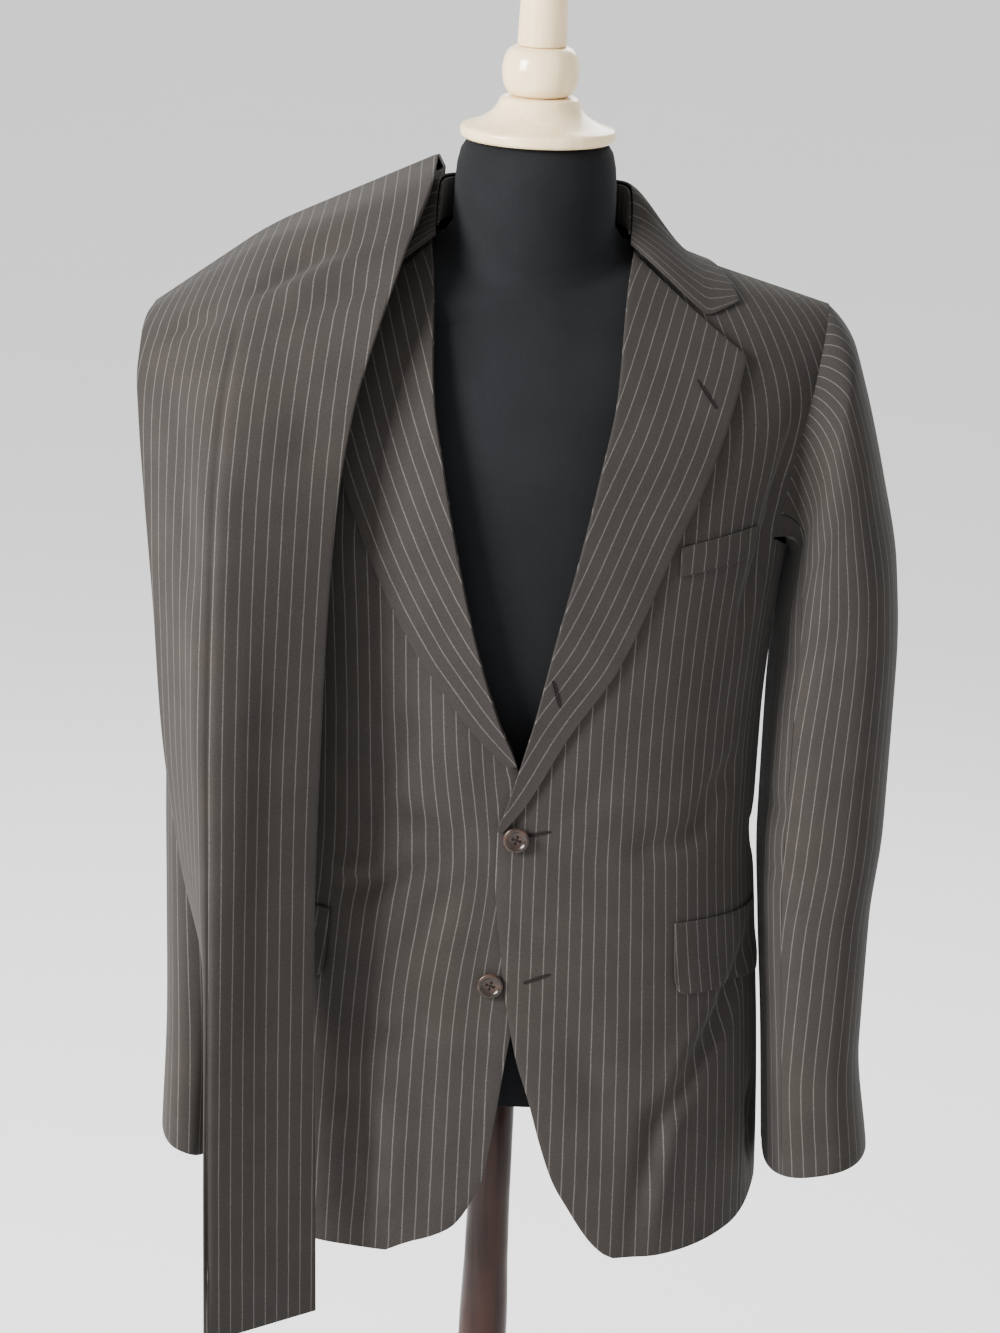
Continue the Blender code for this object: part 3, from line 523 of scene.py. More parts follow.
def weave_group() -> bpy.types.NodeTree:
    """Fine diagonal twill with loose nap: a height, and a yarn-to-yarn tone with painted shade in its dips.

    Returns:
        The node group.
    """
    n, given, end = new_group(
        "twill_weave", {"Yarn": 0.0009, "Nap": 1.0},
        {"Height": "NodeSocketFloat", "Shade": "NodeSocketFloat"})
    apart = n.add("SeparateXYZ", {0: given["Vector"]})
    slant = n.math("ADD", apart.outputs[0], apart.outputs[1])
    rib = n.math("SINE", n.math("MULTIPLY", n.math("DIVIDE", slant, given["Yarn"]), 2.0 * math.pi))
    across = n.math("SINE", n.math("MULTIPLY", n.math("DIVIDE", apart.outputs[0], given["Yarn"]),
                                   2.0 * math.pi))
    nap = n.add("TexNoise", {"Vector": given["Vector"], "Scale": 520.0, "Detail": 4.0, "Roughness": 0.7})
    cloud = n.add("TexNoise", {"Vector": given["Vector"], "Scale": 26.0, "Detail": 3.0})
    nap_height = n.math("MULTIPLY", n.math("SUBTRACT", nap.outputs[0], 0.5), given["Nap"])
    height = n.math("ADD", n.math("ADD", n.math("MULTIPLY", rib, 0.24), n.math("MULTIPLY", across, 0.10)),
                    nap_height)
    n.tree.links.new(height, end.inputs["Height"])
    # Painted shade: the nap's tone follows its height, lighter on raised fibres and darker in the dips; the
    # cloud is random tone.
    shade = n.math("ADD", n.between(nap.outputs[0], 0.3, 0.7, -0.10, 0.10),
                   n.between(cloud.outputs[0], 0.3, 0.7, -0.06, 0.06))
    # Painted shade on the twill: the colour is lighter on the ribs' crests and darker in their troughs.
    n.tree.links.new(n.math("ADD", n.math("ADD", shade, n.math("MULTIPLY", rib, 0.05)), 1.0),
                     end.inputs["Shade"])
    return n.tree


def grain_group() -> bpy.types.NodeTree:
    """Long wood grain along Z: a mask and a height.

    Returns:
        The node group.
    """
    n, given, end = new_group("wood_grain", {"Stretch": 14.0},
                              {"Grain": "NodeSocketFloat", "Height": "NodeSocketFloat"})
    apart = n.add("SeparateXYZ", {0: given["Vector"]})
    flat = n.add("CombineXYZ", {
        0: apart.outputs[0], 1: apart.outputs[1], 2: n.math("DIVIDE", apart.outputs[2], given["Stretch"]),
    })
    rings = n.add("TexNoise", {"Vector": flat.outputs[0], "Scale": 130.0, "Detail": 5.0, "Distortion": 0.6})
    pores = n.add("TexNoise", {"Vector": flat.outputs[0], "Scale": 900.0, "Detail": 2.0})
    n.tree.links.new(n.between(rings.outputs[0], 0.35, 0.68, 0.0, 1.0), end.inputs["Grain"])
    n.tree.links.new(n.between(pores.outputs[0], 0.55, 0.75, 0.0, -1.0), end.inputs["Height"])
    return n.tree


@dataclass(frozen=True)
class Wool:
    """Charcoal brown worsted with a thin pale stripe; its pattern reads the piece's UV map in metres."""

    name: str = "pinstripe_worsted"
    ground: Triple = (0.022, 0.0192, 0.0178)
    stripe: Triple = (0.078, 0.074, 0.069)
    stripe_width: float = 0.0008
    shine: float = 0.06

    def build(self) -> bpy.types.Material:
        """Builds the material.

        Returns:
            The material.
        """
        made, n, shader = start_finish(self.name)
        uv = n.add("UVMap", uv_map="cloth").outputs[0]
        weave = n.add("Group", node_tree=bpy.data.node_groups["twill_weave"])
        stripes = n.add("Group", node_tree=bpy.data.node_groups["pinstripe"])
        n.tree.links.new(uv, weave.inputs["Vector"])
        n.tree.links.new(uv, stripes.inputs["Vector"])
        stripes.inputs["Width"].default_value = self.stripe_width
        stripe = n.math("MULTIPLY", stripes.outputs["Stripe"], 0.85 if self.stripe_width > 0.0 else 0.0)
        warm = n.add("TexNoise", {"Vector": uv, "Scale": 9.0, "Detail": 2.0})
        ground = n.blend(n.between(warm.outputs[0], 0.35, 0.65, 0.0, 1.0), (*self.ground, 1.0),
                         (self.ground[0] * 1.06, self.ground[1] * 1.04, self.ground[2] * 0.98, 1.0))
        colour = n.blend(stripe, ground, (*self.stripe, 1.0))
        # The weave's factor multiplies the colour: random yarn tone and painted shade in the dips of the nap
        # and the twill.
        shade = n.add("CombineXYZ", {i: weave.outputs["Shade"] for i in range(3)})
        n.tree.links.new(n.blend(1.0, colour, shade.outputs[0], "MULTIPLY"), shader.inputs["Base Color"])
        n.tree.links.new(n.between(weave.outputs["Height"], -0.5, 0.5, 0.92, 0.78),
                         shader.inputs["Roughness"])
        bump = n.add("Bump", {"Strength": 0.35, "Distance": 0.00035, "Height": weave.outputs["Height"]})
        n.tree.links.new(bump.outputs[0], shader.inputs["Normal"])
        shader.inputs["Sheen Weight"].default_value = self.shine
        shader.inputs["Sheen Roughness"].default_value = 0.45
        shader.inputs["Sheen Tint"].default_value = (0.80, 0.78, 0.76, 1.0)
        shader.inputs["Specular IOR Level"].default_value = 0.10
        return made


@dataclass(frozen=True)
class Jersey:
    """Black cotton jersey stretched over the form."""

    name: str = "black_jersey"
    colour: Triple = (0.0062, 0.0066, 0.0074)

    def build(self) -> bpy.types.Material:
        """Builds the material.

        Returns:
            The material.
        """
        made, n, shader = start_finish(self.name)
        spot = n.add("TexCoord").outputs["Object"]
        knit = n.add("TexNoise", {"Vector": n.add("Mapping", {0: spot, 3: (1.0, 1.0, 0.35)}).outputs[0],
                                  "Scale": 900.0, "Detail": 3.0})
        fade = n.add("TexNoise", {"Vector": spot, "Scale": 14.0, "Detail": 3.0})
        lint = n.add("TexVoronoi", {"Vector": spot, "Scale": 210.0})
        colour = n.blend(n.between(fade.outputs[0], 0.3, 0.7, 0.0, 1.0), (*self.colour, 1.0),
                         tuple(c * 1.35 for c in self.colour) + (1.0,))
        colour = n.blend(n.between(lint.outputs["Distance"], 0.02, 0.09, 0.22, 0.0), colour,
                         (0.06, 0.06, 0.06, 1.0))
        n.tree.links.new(colour, shader.inputs["Base Color"])
        n.tree.links.new(n.between(knit.outputs[0], 0.3, 0.7, 0.95, 0.80), shader.inputs["Roughness"])
        bump = n.add("Bump", {"Strength": 0.4, "Distance": 0.0004, "Height": knit.outputs[0]})
        n.tree.links.new(bump.outputs[0], shader.inputs["Normal"])
        shader.inputs["Sheen Weight"].default_value = 0.03
        shader.inputs["Specular IOR Level"].default_value = 0.06
        shader.inputs["Sheen Roughness"].default_value = 0.5
        return made


@dataclass(frozen=True)
class Lacquer:
    """Turned wood under clear lacquer."""

    name: str
    light: Triple
    dark: Triple
    contrast: float
    roughness: float
    coat: float
    shine: float

    def build(self) -> bpy.types.Material:
        """Builds the material.

        Returns:
            The material.
        """
        made, n, shader = start_finish(self.name)
        spot = n.add("TexCoord").outputs["Object"]
        grain = n.add("Group", node_tree=bpy.data.node_groups["wood_grain"])
        n.tree.links.new(spot, grain.inputs["Vector"])
        rubbed = n.add("TexNoise", {"Vector": spot, "Scale": 30.0, "Detail": 4.0})
        share = n.math("MULTIPLY", grain.outputs["Grain"], self.contrast)
        n.tree.links.new(n.blend(share, (*self.light, 1.0), (*self.dark, 1.0)), shader.inputs["Base Color"])
        low, high = self.roughness * 0.8, self.roughness * 1.3
        n.tree.links.new(n.between(rubbed.outputs[0], 0.3, 0.7, low, high), shader.inputs["Roughness"])
        bump = n.add("Bump", {"Strength": 0.15, "Distance": 0.0002, "Height": grain.outputs["Height"]})
        n.tree.links.new(bump.outputs[0], shader.inputs["Normal"])
        shader.inputs["Specular IOR Level"].default_value = self.shine
        shader.inputs["Coat Weight"].default_value = self.coat
        shader.inputs["Coat Roughness"].default_value = 0.08
        return made


@dataclass(frozen=True)
class Horn:
    """Mottled dark brown horn, polished."""

    name: str = "dark_horn"

    def build(self) -> bpy.types.Material:
        """Builds the material.

        Returns:
            The material.
        """
        made, n, shader = start_finish(self.name)
        spot = n.add("TexCoord").outputs["Object"]
        streak = n.add("TexNoise", {"Vector": spot, "Scale": 90.0, "Detail": 2.0, "Distortion": 0.8})
        colour = n.blend(n.between(streak.outputs[0], 0.38, 0.66, 0.0, 1.0), (0.012, 0.007, 0.005, 1.0),
                         (0.034, 0.018, 0.011, 1.0))
        n.tree.links.new(colour, shader.inputs["Base Color"])
        n.tree.links.new(n.between(streak.outputs[0], 0.3, 0.7, 0.20, 0.32), shader.inputs["Roughness"])
        shader.inputs["Specular IOR Level"].default_value = 0.30
        return made


@dataclass(frozen=True)
class Thread:
    """Twisted sewing thread, its colour painted lighter on the raised twist and darker in the grooves."""

    name: str = "dark_thread"
    colour: Triple = (0.007, 0.006, 0.0055)

    def build(self) -> bpy.types.Material:
        """Builds the material.

        Returns:
            The material.
        """
        made, n, shader = start_finish(self.name)
        spot = n.add("TexCoord").outputs["Object"]
        twist = n.add("TexWave", {"Vector": spot, "Scale": 420.0, "Distortion": 1.0},
                      bands_direction="DIAGONAL")
        # Painted highlight and shade: the colour is lighter where the twist is raised and darker in its
        # grooves.
        colour = n.blend(twist.outputs[1], (*self.colour, 1.0), tuple(c * 1.8 for c in self.colour) + (1.0,))
        n.tree.links.new(colour, shader.inputs["Base Color"])
        n.tree.links.new(n.between(twist.outputs[1], 0.0, 1.0, 0.75, 0.55), shader.inputs["Roughness"])
        bump = n.add("Bump", {"Strength": 0.5, "Distance": 0.0002, "Height": twist.outputs[1]})
        n.tree.links.new(bump.outputs[0], shader.inputs["Normal"])
        shader.inputs["Specular IOR Level"].default_value = 0.08
        return made


@dataclass(frozen=True)
class Plaster:
    """Plain pale floor."""

    name: str = "pale_floor"

    def build(self) -> bpy.types.Material:
        """Builds the material.

        Returns:
            The material.
        """
        made, n, shader = start_finish(self.name)
        spot = n.add("TexCoord").outputs["Object"]
        tone = n.add("TexNoise", {"Vector": spot, "Scale": 1.3, "Detail": 3.0})
        colour = n.blend(tone.outputs[0], (0.88, 0.88, 0.88, 1.0), (0.91, 0.91, 0.905, 1.0))
        n.tree.links.new(colour, shader.inputs["Base Color"])
        shader.inputs["Roughness"].default_value = 0.9
        return made


def start_finish(name: str) -> tuple[bpy.types.Material, Nodes, bpy.types.Node]:
    """Starts a material and returns it with its nodes and its shader.

    Args:
        name: Name of the material.

    Returns:
        The material, its nodes and its shader.
    """
    made = bpy.data.materials.new(name)
    made.use_nodes = True
    return made, Nodes(made.node_tree), made.node_tree.nodes["Principled BSDF"]


# --- making pieces
def add_piece(name: str, bm: bmesh.types.BMesh, finish: bpy.types.Material,
              nodes: Sequence[str] = ()) -> bpy.types.Object:
    """Turns a bmesh into a shown piece of the object.

    Args:
        name: Name of the piece.
        bm: Its mesh, which is freed.
        finish: Its material.
        nodes: CAD nodes that it stands for.

    Returns:
        The piece, riding on the part's one body.
    """
    mesh = bpy.data.meshes.new(name)
    bm.to_mesh(mesh)
    bm.free()
    mesh.materials.append(finish)
    mesh.shade_smooth()
    piece = bpy.data.objects.new(name, mesh)
    bpy.context.scene.collection.objects.link(piece)
    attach(piece, "root")
    if nodes:
        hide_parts(*nodes)
    log.info("%s: %d faces", name, len(mesh.polygons))
    return piece


def soften(piece: bpy.types.Object, width: float, segments: int = 2, angle: float = 35.0) -> None:
    """Rounds a piece's sharp edges with a live bevel.

    Args:
        piece: The piece.
        width: Width of the softened edge.
        segments: Steps round it.
        angle: Corners sharper than this many degrees are softened.
    """
    bevel = piece.modifiers.new("rounded_edges", "BEVEL")
    bevel.width = width
    bevel.segments = segments
    bevel.limit_method = "ANGLE"
    bevel.angle_limit = math.radians(angle)


@dataclass
class Cloth:
    """A panel of cloth: a flat grid laid on a form, creased, then given its thickness."""

    name: str
    place: Place
    columns: int
    rows: int
    finish: bpy.types.Material
    cut: tuple[float, float]
    area: float | None = None
    wall: float = WALL
    held: Held = Held.DRAPED
    rests_on: tuple[str, ...] = ("form_torso",)
    nodes: tuple[str, ...] | None = None
    mirrored: bool = False
    closed: bool = False
    anchor: float = 0.0
    hangs_from: float | None = None
    grain: Grain | None = None
    folds: tuple[Fold, ...] = ()
    shift: float = 0.0
    rounding: float = 0.00045

    def lay(self) -> list[list[Triple]]:
        """Places every grid point on the form."""
        return [[self.place(i / self.columns, j / self.rows) for j in range(self.rows + 1)]
                for i in range(self.columns + 1)]

    def measure(self, points: list[list[Triple]]) -> list[list[tuple[float, float]]]:
        """Distance across and along the cloth at every grid point.

        Args:
            points: Grid points, column by column.

        Returns:
            The cloth's own coordinates, in metres.
        """
        if self.grain is not None:
            return [[self.grain(i / self.columns, j / self.rows) for j in range(self.rows + 1)]
                    for i in range(self.columns + 1)]
        middle = self.columns // 2
        along = [0.0]
        for a, b in zip(points[middle], points[middle][1:]):
            along.append(along[-1] + math.dist(a, b))
        at = round(self.anchor * self.columns)
        across = [[0.0] * (self.rows + 1)]
        for i in range(self.columns):
            across.append([
                across[-1][j] + math.dist(points[i][j], points[i + 1][j]) for j in range(self.rows + 1)
            ])
        across = [[column[j] - across[at][j] for j in range(self.rows + 1)] for column in across]
        if self.hangs_from is not None:
            self.hang(points, across, round(self.hangs_from * self.rows), at)
        return [[(across[i][j] + self.shift, along[j]) for j in range(self.rows + 1)]
                for i in range(self.columns + 1)]

    def hang(self, points: list[list[Triple]], across: list[list[float]], kept: int, at: int) -> None:
        """Lets the grain run straight on from one row to the panel's far end, whatever its rows do.

        Args:
            points: Grid points, column by column.
            across: Distance across at every grid point, changed beyond the row.
            kept: Row that the grain runs on from.
            at: Column that the grain runs beside.
        """
        spine = points[at][:1]
        for point in points[at]:
            if point[2] > spine[-1][2] + 0.004:
                spine.append(point)
        beside = [Curve([point[2] for point in spine], [point[k] for point in spine]) for k in range(2)]
        for i, column in enumerate(across):
            a, b, start = points[max(i - 1, 0)][kept], points[min(i + 1, self.columns)][kept], points[i][kept]
            run = math.hypot(b[0] - a[0], b[1] - a[1])
            for j in range(kept + 1, self.rows + 1):
                here = points[i][j]
                x, y = (here[k] - start[k] - beside[k](here[2]) + beside[k](start[2]) for k in range(2))
                column[j] = column[kept] + (x * (b[0] - a[0]) + y * (b[1] - a[1])) / run

    def crease(self, points: list[list[Triple]],
               spots: list[list[tuple[float, float]]]) -> list[list[Triple]]:
        """Moves the points along the surface's normal by the piece's own folds.

        Args:
            points: Grid points, column by column.
            spots: The cloth's own coordinates at them.

        Returns:
            The moved points.
        """
        last_i, last_j = self.columns, self.rows
        made = []
        for i in range(last_i + 1):
            line = []
            for j in range(last_j + 1):
                height = relief(self.folds, *spots[i][j])
                if height == 0.0:
                    line.append(points[i][j])
                    continue
                before = points[i - 1][j] if i else (points[last_i - 1][j] if self.closed else points[0][j])
                after = points[i + 1][j] if i < last_i else (points[1][j] if self.closed else points[i][j])
                across = difference(after, before)
                along = difference(points[i][min(j + 1, last_j)], points[i][max(j - 1, 0)])
                line.append(moved(points[i][j], unit(cross(across, along)), height))
            made.append(line)
        return made

    def build(self) -> bpy.types.Object:
        """Builds the panel and returns it.

        Returns:
            The panel.
        """
        points = self.lay()
        spots = self.measure(points)
        if self.folds:
            points = self.crease(points, spots)
        bm = bmesh.new()
        bmesh.ops.create_grid(bm, x_segments=self.columns, y_segments=self.rows, size=0.5)
        layer = bm.loops.layers.uv.new("cloth")
        where = {
            v: (round((v.co.x + 0.5) * self.columns), round((v.co.y + 0.5) * self.rows)) for v in bm.verts
        }
        for face in bm.faces:
            for loop in face.loops:
                i, j = where[loop.vert]
                loop[layer].uv = spots[i][j]
        for vertex, (i, j) in where.items():
            x, y, z = points[i][j]
            vertex.co = (-x if self.mirrored else x, y, z)
        if self.mirrored:
            bmesh.ops.reverse_faces(bm, faces=bm.faces)
        if self.closed:
            bmesh.ops.remove_doubles(bm, verts=bm.verts, dist=0.00001)
        log.info("%s: %.4f square metres of cloth", self.name, sum(face.calc_area() for face in bm.faces))
        nodes = (self.name,) if self.nodes is None else self.nodes
        piece = add_piece(self.name + "_cloth", bm, self.finish, nodes)
        shell = piece.modifiers.new("thickness", "SOLIDIFY")
        shell.thickness = self.wall
        shell.offset = -1.0
        shell.use_even_offset = False
        soften(piece, self.rounding, 2, 50.0)
        return piece


def turn_up(name: str, profile: Sequence[tuple[float, float]], finish: bpy.types.Material,
            nodes: Sequence[str] = (), matrix: Matrix | None = None, steps: int = 96,
            rounding: float = 0.0005) -> bpy.types.Object:
    """A piece turned on a lathe.

    Args:
        name: Name of the piece.
        profile: (radius, height) pairs, top to bottom down the outer side.
        finish: Its material.
        nodes: CAD nodes that it stands for.
        matrix: Where it goes.
        steps: Faces round it.
        rounding: Bevel on its edges.

    Returns:
        The piece.
    """
    bm = bmesh.new()
    points = [bm.verts.new((radius, 0.0, height)) for radius, height in profile]
    edges = [bm.edges.new(pair) for pair in zip(points, points[1:])]
    bmesh.ops.spin(bm, geom=points + edges, cent=(0.0, 0.0, 0.0), axis=(0.0, 0.0, 1.0), dvec=(0.0, 0.0, 0.0),
                   angle=2.0 * math.pi, steps=steps, use_merge=True, use_duplicate=False)
    bmesh.ops.remove_doubles(bm, verts=bm.verts, dist=0.000001)
    bmesh.ops.dissolve_degenerate(bm, edges=bm.edges, dist=0.000001)
    bmesh.ops.recalc_face_normals(bm, faces=bm.faces)
    if matrix is not None:
        bmesh.ops.transform(bm, matrix=matrix, verts=bm.verts)
    piece = add_piece(name, bm, finish, nodes)
    if rounding:
        soften(piece, rounding, 3, 25.0)
    return piece


# --- dress form
@dataclass
class DressForm:
    """Limbless form with a pale turned neck cap, bead and pole, on a dark post and base."""

    bottom_z: float = 0.760
    neck_y: float = -0.0120
    neck_half: float = 0.0585
    neck_depth: float = 0.0560
    neck_top_z: float = 1.4740
    fillet: float = 0.0020
    drop: float = 0.0033
    relief: float = 0.0040
    closing: float = 0.50
    pole_top_z: float = 1.6300
    base_d: float = 0.44
    base_h: float = 0.022
    rings: int = 46
    around: int = 76

    def point(self, turn: float, share: float) -> Triple:
        """Point of the body at a turn from the centre front and a share of its height.

        Args:
            turn: Turn from the centre front, in radians.
            share: Share of the way up.

        Returns:
            The point.
        """
        angle = abs(turn)
        body, shoulder, neck_base = 0.45, 0.60, 0.86
        if share <= body:
            x, y, z = FORM_TORSO.point(angle, self.bottom_z + (CHEST_Z - self.bottom_z) * share / body)
        elif share <= shoulder:
            x, y, z = FORM_TORSO.point(angle, CHEST_Z + self.closing * (share - body) / (shoulder - body))
        else:
            x, y, own_z = FORM_TORSO.point(angle, CHEST_Z + self.closing)
            closing = clamp((share - shoulder) / (neck_base - shoulder))
            neck_x = self.neck_half * math.sin(angle)
            neck_y = self.neck_y - self.neck_depth * math.cos(angle)
            x, y = x + (neck_x - x) * closing, y + (neck_y - y) * closing
            drop = self.drop + self.relief * ease(abs(y) / 0.03)
            under = JACKET_TORSO.on_shoulder(max(x, 0.0005), y)[2] - drop
            z = own_z + (under - own_z) * ease(closing / 0.5) + self.fillet * ease((closing - 0.92) / 0.08)
            if share > neck_base:
                up = (share - neck_base) / (1.0 - neck_base)
                z += (self.neck_top_z - z) * math.sin(up * math.radians(90.0))
                shrink = 1.0 - 0.22 * (1.0 - math.cos(up * math.radians(90.0))) ** 2
                x, y = x * shrink, self.neck_y + (y - self.neck_y) * shrink
        return math.copysign(x, turn), y, z

    def make_body(self, jersey: bpy.types.Material) -> bpy.types.Object:
        """The jersey-covered body.

        Args:
            jersey: Finish of the body.

        Returns:
            The body.
        """
        bm = bmesh.new()
        bmesh.ops.create_cone(bm, cap_ends=False, segments=self.around, radius1=1.0, radius2=1.0, depth=1.0)
        uprights = [e for e in bm.edges if abs(e.verts[0].co.z - e.verts[1].co.z) > 0.5]
        bmesh.ops.subdivide_edges(bm, edges=uprights, cuts=self.rings - 1, use_grid_fill=False)
        known: dict[tuple[int, int], Triple] = {}
        for vertex in bm.verts:
            turn = math.atan2(vertex.co.x, -vertex.co.y)
            share = vertex.co.z + 0.5
            key = (round(abs(turn) * 1e4), round(share * 1e4))
            if key not in known:
                known[key] = self.point(abs(turn), share)
            x, y, z = known[key]
            vertex.co = (math.copysign(x, turn), y, z)
        bmesh.ops.holes_fill(bm, edges=[e for e in bm.edges if e.is_boundary], sides=self.around)
        bmesh.ops.recalc_face_normals(bm, faces=bm.faces)
        piece = add_piece("form_body", bm, jersey, ("form_torso",))
        soften(piece, 0.0015, 3, 40.0)
        return piece

    def make_stand(self, pale: bpy.types.Material, dark: bpy.types.Material) -> None:
        """The turned wood above and below the body.

        Args:
            pale: Finish of the cap and finial.
            dark: Finish of the post and base.
        """
        neck = Matrix.Translation((0.0, self.neck_y, 0.0))
        turn_up("neck_cap", (
            (0.0, 1.5050), (0.0240, 1.5050), (0.0268, 1.5046), (0.0282, 1.5032), (0.0290, 1.5010),
            (0.0302, 1.4985), (0.0322, 1.4956), (0.0350, 1.4926), (0.0388, 1.4899), (0.0432, 1.4874),
            (0.0485, 1.4853), (0.0530, 1.4840), (0.0553, 1.4829), (0.0562, 1.4812), (0.0562, 1.4780),
            (0.0555, 1.4760), (0.0540, 1.4745), (0.0, 1.4745),
        ), pale, ("form_neck_cap",), neck)
        bead = [(0.0, 1.5405)] + [
            (0.0170 + 0.0108 * math.sin(math.radians(a)) ** 0.8, 1.5229 + 0.0176 * math.cos(math.radians(a)))
            for a in range(0, 181, 10)
        ] + [(0.0, 1.5053)]
        turn_up("finial_bead", bead, pale, ("form_bead",), neck)
        tip = [(0.0, self.pole_top_z)] + [
            (0.0155 * math.sin(math.radians(a)), self.pole_top_z - 0.0155 * (1.0 - math.cos(math.radians(a))))
            for a in range(10, 91, 10)
        ]
        turn_up("finial_pole", tip + [(0.0166, 1.5800), (0.0178, 1.5420), (0.0172, 1.5408), (0.0, 1.5408)],
                pale, ("form_finial_pole",), neck, rounding=0.0)
        under = self.bottom_z - SEAM
        foot = self.base_h + SEAM
        turn_up("stand_post", (
            (0.0, under), (0.0165, under), (0.0165, 0.640), (0.0172, 0.590), (0.0190, 0.540),
            (0.0190, 0.520), (0.0202, 0.5175), (0.0225, 0.5150), (0.0250, 0.5110), (0.0264, 0.5060),
            (0.0270, 0.5000), (0.0264, 0.4940), (0.0250, 0.4890), (0.0225, 0.4850), (0.0202, 0.4825),
            (0.0190, 0.480), (0.0180, 0.300), (0.0195, 0.120), (0.0232, 0.099), (0.0280, 0.080),
            (0.0322, 0.068), (0.0340, 0.060), (0.0340, foot), (0.0, foot),
        ), dark, ("form_post",), steps=72)
        r = 0.5 * self.base_d
        turn_up("stand_base", (
            (0.0, self.base_h), (r - 0.024, self.base_h), (r - 0.016, self.base_h - 0.0008),
            (r - 0.008, self.base_h - 0.0030), (r - 0.0035, self.base_h - 0.0062),
            (r - 0.001, self.base_h - 0.0100), (r, 0.0060), (r - 0.0008, 0.0020), (r - 0.003, 0.0),
            (0.0, 0.0),
        ), dark, ("form_base",), steps=128)

    def build(self, finishes: dict[Slot, bpy.types.Material]) -> None:
        """Builds the whole form."""
        self.make_body(finishes[Slot.JERSEY])
        self.make_stand(finishes[Slot.PALE_WOOD], finishes[Slot.DARK_WOOD])


# --- jacket
def on_side(*spots: tuple[float, float]) -> tuple[tuple[float, float], ...]:
    """Turns (distance from the centre, height) pairs on the front into the jacket's fold coordinates.

    Args:
        *spots: Distance from the centre and height of each place.

    Returns:
        Fold coordinates of each place.
    """
    made = []
    for x, z in spots:
        level = JACKET_TORSO.level(z, x)
        made.append(JacketShape.spot(JACKET_TORSO.angle_at(x, level), level))
    return tuple(made)


